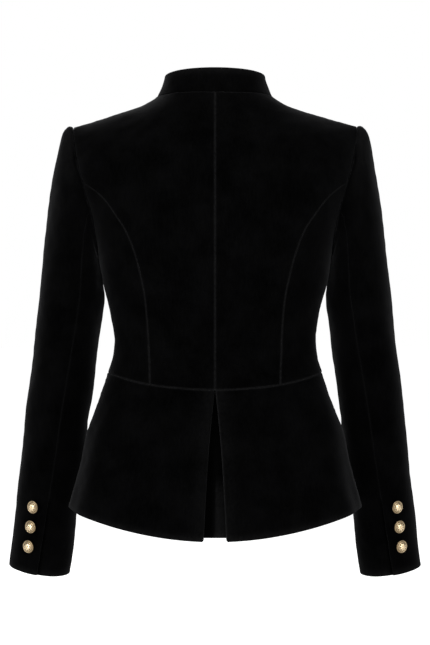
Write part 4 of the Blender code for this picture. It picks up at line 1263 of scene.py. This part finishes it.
def buttons():
    mesh = button_mesh()
    for number in range(CUFF_BUTTONS):
        along = np.array(SLEEVE_LENGTH - CUFF_BUTTON_FROM_HEM - number * CUFF_BUTTON_STEP)
        angle = np.radians(CUFF_BUTTON_DEG)
        seat = sleeve_point(along, angle) + sleeve_normal(along, angle) * vent_raise(along, angle)
        facing = sleeve_normal(along, np.radians(CUFF_BUTTON_DEG - CUFF_BUTTON_TILT_DEG))
        for side_name, side in SIDES.items():
            node = f"cuff_button_{side_name}_{number + 1}"
            add_button(node, mesh, mirrored(seat, side), mirrored(facing, side))
    for number in range(FRONT_BUTTONS):
        level = level_at(FRONT_BUTTON_TOP_Z - number * FRONT_BUTTON_STEP, 0)
        add_button(f"front_button_{number + 1}", mesh, body_point(np.pi, level), body_normal(np.pi, level))


# Buttonholes of the right front: a loop of close thread stitches round each slit


def buttonhole(number):
    middle_x = BUTTONHOLE_OUTER_X - BUTTONHOLE_LENGTH / 2
    z = FRONT_BUTTON_TOP_Z - number * FRONT_BUTTON_STEP
    straight = BUTTONHOLE_LENGTH / 2 - BUTTONHOLE_HALF_WIDTH
    rows = BUTTONHOLE_STITCHES * ROWS_PER_STITCH
    turn = np.linspace(0, 2 * np.pi, rows, endpoint=False)
    along = np.clip(LOOP_SQUARED_ALONG * np.cos(turn), -1, 1)
    x = middle_x + straight * along + BUTTONHOLE_HALF_WIDTH * np.cos(turn)
    rise = BUTTONHOLE_HALF_WIDTH * np.clip(LOOP_SQUARED_ACROSS * np.sin(turn), -1, 1)
    radius = THREAD_RADIUS * (1 - THREAD_WAIST + THREAD_WAIST * np.cos(turn * BUTTONHOLE_STITCHES))
    centre = at(body_point, x, z + rise, True)
    normal = at(body_normal, x, z + rise, True)
    centre = centre + normal * body_relief(centre, True)[:, None]
    run = unit(np.roll(centre, -1, axis=0) - np.roll(centre, 1, axis=0))
    aside = unit(np.cross(normal, run))
    points = []
    for a in np.linspace(0, 2 * np.pi, THREAD_SIDES, endpoint=False):
        points.append(centre + radius[:, None] * (aside * math.cos(a) + normal * math.sin(a)))
    index = np.arange(rows * THREAD_SIDES).reshape(rows, THREAD_SIDES)
    index = np.concatenate([index, index[:1]])
    index = np.concatenate([index, index[:, :1]], axis=1)
    name = f"buttonhole_{number + 1}"
    points = np.stack(points, axis=1).reshape(-1, 3)
    piece = add_object(name, new_mesh(name, points.tolist(), quads(index).tolist(), thread))
    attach(piece, "root")


# Materials, and the sockets of the mix node that take and give colours
MIX_FIRST, MIX_SECOND, MIX_RESULT = 6, 7, 2

PILE_DARK = (0.0001, 0.0001, 0.0001)
PILE_LIGHT = (0.0013, 0.0013, 0.0014)
# The pile's painted sheen and painted shadow
PILE_PAINTED_SHEEN = (0.0066, 0.0066, 0.0068)
PILE_SHADOW = (0.0001, 0.0001, 0.0001)
WOVEN_DARK = (0.0012, 0.0012, 0.0014)
WOVEN_LIGHT = (0.0045, 0.0045, 0.0050)
THREAD_DARK = (0.0030, 0.0030, 0.0034)
THREAD_LIGHT = (0.0110, 0.0110, 0.0120)
GOLD_BRIGHT = (0.90, 0.74, 0.50)
GOLD_DULL = (0.70, 0.54, 0.33)
# Patina in the recesses, and painted shade towards the rim
GOLD_PATINA_AND_SHADE = (0.120, 0.080, 0.038)
WHITE = (1, 1, 1)
FLOOR_DARK = (0.90, 0.90, 0.90)
FLOOR_LIGHT = (0.93, 0.93, 0.93)
FLOOR_GLOW = (0.18, 0.62)


class Nodes:
    """Short names for making shader nodes. A value is a number, a colour or another node's output."""

    def __init__(self, name):
        self.material = bpy.data.materials.new(name)
        self.material.use_nodes = True
        self.tree = self.material.node_tree

    def feed(self, socket, value):
        if isinstance(value, bpy.types.NodeSocket):
            self.tree.links.new(value, socket)
        elif socket.type == "RGBA" and len(value) == 3:
            socket.default_value = (*value, 1)
        else:
            socket.default_value = value

    def add(self, kind, inputs, **settings):
        node = self.tree.nodes.new("ShaderNode" + kind)
        for name, setting in settings.items():
            setattr(node, name, setting)
        for name, value in inputs.items():
            self.feed(node.inputs[name], value)
        return node

    def place(self, scale=(1, 1, 1)):
        """The object's own coordinates, stretched."""
        own = self.add("TexCoord", {}).outputs["Object"]
        return self.add("Mapping", {"Vector": own, "Scale": scale}).outputs["Vector"]

    def noise(self, scale, detail=2.0, roughness=0.5, stretch=(1, 1, 1)):
        inputs = {"Scale": scale, "Detail": detail, "Roughness": roughness, "Vector": self.place(stretch)}
        return self.add("TexNoise", inputs).outputs["Fac"]

    def spread(self, value, low, high, new_low=0.0, new_high=1.0):
        inputs = {"Value": value, "From Min": low, "From Max": high, "To Min": new_low, "To Max": new_high}
        return self.add("MapRange", inputs).outputs["Result"]

    def math(self, operation, first, second):
        return self.add("Math", {0: first, 1: second}, operation=operation).outputs["Value"]

    def mix(self, factor, first, second):
        inputs = {"Factor": factor, MIX_FIRST: first, MIX_SECOND: second}
        return self.add("Mix", inputs, data_type="RGBA").outputs[MIX_RESULT]

    def attribute(self, name):
        return self.add("Attribute", {}, attribute_name=name).outputs["Fac"]

    def bump(self, height, strength, distance):
        made = self.add("Bump", {"Strength": strength, "Distance": distance, "Height": height})
        self.set(Normal=made.outputs["Normal"])

    def set(self, **values):
        for name, value in values.items():
            self.feed(self.tree.nodes["Principled BSDF"].inputs[name.replace("_", " ")], value)


def make_velvet():
    """Black cotton velvet: cloudy where the pile lies unevenly, streaked along it, paler with a
    painted sheen along seams and hems, and darkest with a painted shadow in the depth of a fold."""
    n = Nodes("velvet_pile")
    cloud = n.spread(n.noise(26, 4, 0.6), 0.34, 0.66)
    streak = n.spread(n.noise(420, 3, 0.6, (1, 1, 0.16)), 0.30, 0.70)
    fuzz = n.noise(1500, 2, 0.6)
    mottled = n.math("MULTIPLY", n.math("ADD", cloud, n.math("MULTIPLY", streak, 0.6)), 0.62)
    pile = n.mix(mottled, PILE_DARK, PILE_LIGHT)
    # Painted sheen along seams, hems and folds where the edge attribute is above 0, painted shadow where it
    # is below
    painted_light = n.math("MULTIPLY", n.attribute("edge"), n.spread(n.noise(300, 3), 0.30, 0.65, 0.45, 1.0))
    painted_sheen_pile = n.mix(n.spread(painted_light, 0, 1), pile, PILE_PAINTED_SHEEN)
    n.set(Base_Color=n.mix(n.spread(n.attribute("edge"), 0, -1), painted_sheen_pile, PILE_SHADOW))
    n.set(Roughness=n.spread(cloud, 0, 1, 0.92, 0.80), Specular_IOR_Level=0.008)
    n.bump(n.math("ADD", n.math("MULTIPLY", streak, 0.7), fuzz), 0.35, 0.0004)
    n.set(Sheen_Weight=0.045, Sheen_Roughness=0.38, Sheen_Tint=(0.92, 0.93, 0.97))
    return n.material


def make_velvet_back():
    """The woven back of the velvet, seen inside the neck, hem and cuffs."""
    n = Nodes("velvet_back")
    inputs = {"Scale": 330, "Distortion": 0.6, "Vector": n.place()}
    wave = n.add("TexWave", inputs, wave_type="BANDS", bands_direction="DIAGONAL").outputs["Fac"]
    shade = n.math("MULTIPLY", wave, n.spread(n.noise(60, 3), 0.3, 0.7, 0.6, 1.0))
    n.bump(wave, 0.4, 0.0002)
    n.set(Base_Color=n.mix(shade, WOVEN_DARK, WOVEN_LIGHT), Roughness=0.85, Specular_IOR_Level=0.06)
    return n.material


def make_thread():
    n = Nodes("buttonhole_thread")
    lay = n.noise(2600, 2, 0.5, (1, 1, 3))
    colour = n.mix(n.spread(lay, 0.35, 0.65), THREAD_DARK, THREAD_LIGHT)
    n.bump(lay, 0.4, 0.0001)
    n.set(Base_Color=colour, Roughness=0.5, Specular_IOR_Level=0.2)
    return n.material


def make_cast_gold():
    """Antique gold: bright on what stands out, brown patina in the recesses, a painted shade darkening it
    towards the rim, softly hand-worn.
    """
    n = Nodes("cast_gold")
    tarnish = n.spread(n.noise(700, 4, 0.6), 0.32, 0.68)
    # The raised attribute is low in the recesses, where the patina lies, and towards the rim, where it is a
    # painted shade
    raised = n.spread(n.attribute("raised"), 0.0, 0.70)
    colour = n.mix(raised, GOLD_PATINA_AND_SHADE, n.mix(tarnish, GOLD_BRIGHT, GOLD_DULL))
    wear = n.math("ADD", n.spread(raised, 0, 1, 0.42, 0.20), n.math("MULTIPLY", tarnish, 0.10))
    n.bump(n.noise(2400, 3, 0.6), 0.12, 0.0001)
    n.set(Base_Color=colour, Roughness=wear, Metallic=1.0)
    return n.material


def make_floor():
    """A pale floor whose own light is stronger for the camera than on what stands over it."""
    n = Nodes("pale_floor")
    colour = n.mix(n.spread(n.noise(3, 2), 0.3, 0.7), FLOOR_DARK, FLOOR_LIGHT)
    glow = n.spread(n.add("LightPath", {}).outputs["Is Camera Ray"], 0, 1, *FLOOR_GLOW)
    n.set(Base_Color=colour, Roughness=0.9, Specular_IOR_Level=0.1)
    n.set(Emission_Color=WHITE, Emission_Strength=glow)
    return n.material


velvet = make_velvet()
velvet_back = make_velvet_back()
thread = make_thread()
cast_gold = make_cast_gold()

# Studio: floor, light and camera

FLOOR_Z = -0.80
FLOOR_HALF = 40.0
CAMERA_Y = 2.8
CAMERA_Z = -0.2929
CAMERA_LENS = 120.2
SENSOR = 36.0
LIGHT_TARGET = (0.0, 0.0, -0.28)
WORLD_LIGHT = 0.45


def floor():
    points = [(x, y, FLOOR_Z) for x, y in ((-1, -1), (1, -1), (1, 1), (-1, 1))]
    points = [(x * FLOOR_HALF, y * FLOOR_HALF, z) for x, y, z in points]
    add_object("floor", new_mesh("floor", points, [(0, 1, 2, 3)], make_floor()))


def area_light(name, place, size, power):
    data = bpy.data.lights.new(name, "AREA")
    data.shape = "RECTANGLE"
    data.size, data.size_y = size
    data.energy = power
    made = add_object(name, data)
    made.location = place
    made.rotation_euler = (Vector(LIGHT_TARGET) - Vector(place)).to_track_quat("-Z", "Y").to_euler()
    made.visible_camera = False


def make_world():
    """White to the camera, and dimmer as a light."""
    world = bpy.data.worlds.new("studio")
    world.use_nodes = True
    tree = world.node_tree
    seen, dim = tree.nodes["Background"], tree.nodes.new("ShaderNodeBackground")
    for node, strength in ((seen, 1.0), (dim, WORLD_LIGHT)):
        node.inputs["Color"].default_value = (*WHITE, 1)
        node.inputs["Strength"].default_value = strength
    mix = tree.nodes.new("ShaderNodeMixShader")
    path = tree.nodes.new("ShaderNodeLightPath")
    tree.links.new(path.outputs["Is Camera Ray"], mix.inputs["Fac"])
    tree.links.new(dim.outputs["Background"], mix.inputs[1])
    tree.links.new(seen.outputs["Background"], mix.inputs[2])
    tree.links.new(mix.outputs["Shader"], tree.nodes["World Output"].inputs["Surface"])
    return world


def studio():
    scene = bpy.context.scene
    scene.world = make_world()
    area_light("overhead", (0.0, 1.7, 1.5), (1.4, 0.8), 30)
    area_light("left", (2.0, 1.9, -0.25), (0.7, 0.9), 26)
    area_light("right", (-2.0, 1.9, -0.25), (0.7, 0.9), 20)
    area_light("front", (0.6, -1.8, 1.2), (1.4, 0.8), 20)
    data = bpy.data.cameras.new("camera")
    data.sensor_width = SENSOR
    data.lens = CAMERA_LENS
    camera = add_object("camera", data)
    camera.location = (0.0, CAMERA_Y, CAMERA_Z)
    camera.rotation_euler = (math.pi / 2, 0, math.pi)
    scene.camera = camera
    scene.view_settings.view_transform = "Standard"


panels("back", False, PRINCESS_BACK, BACK_JOINT_DEG, 0, 0.0, SEAM, "front")
panels("front", True, PRINCESS_FRONT, FRONT_JOINT_DEG, 360, -LAP, HEM, "back", "left")
peplum_back()
pleat_underlay()
peplum_front()
collar()
sleeves()
buttons()
for number in range(FRONT_BUTTONS):
    buttonhole(number)
floor()
studio()
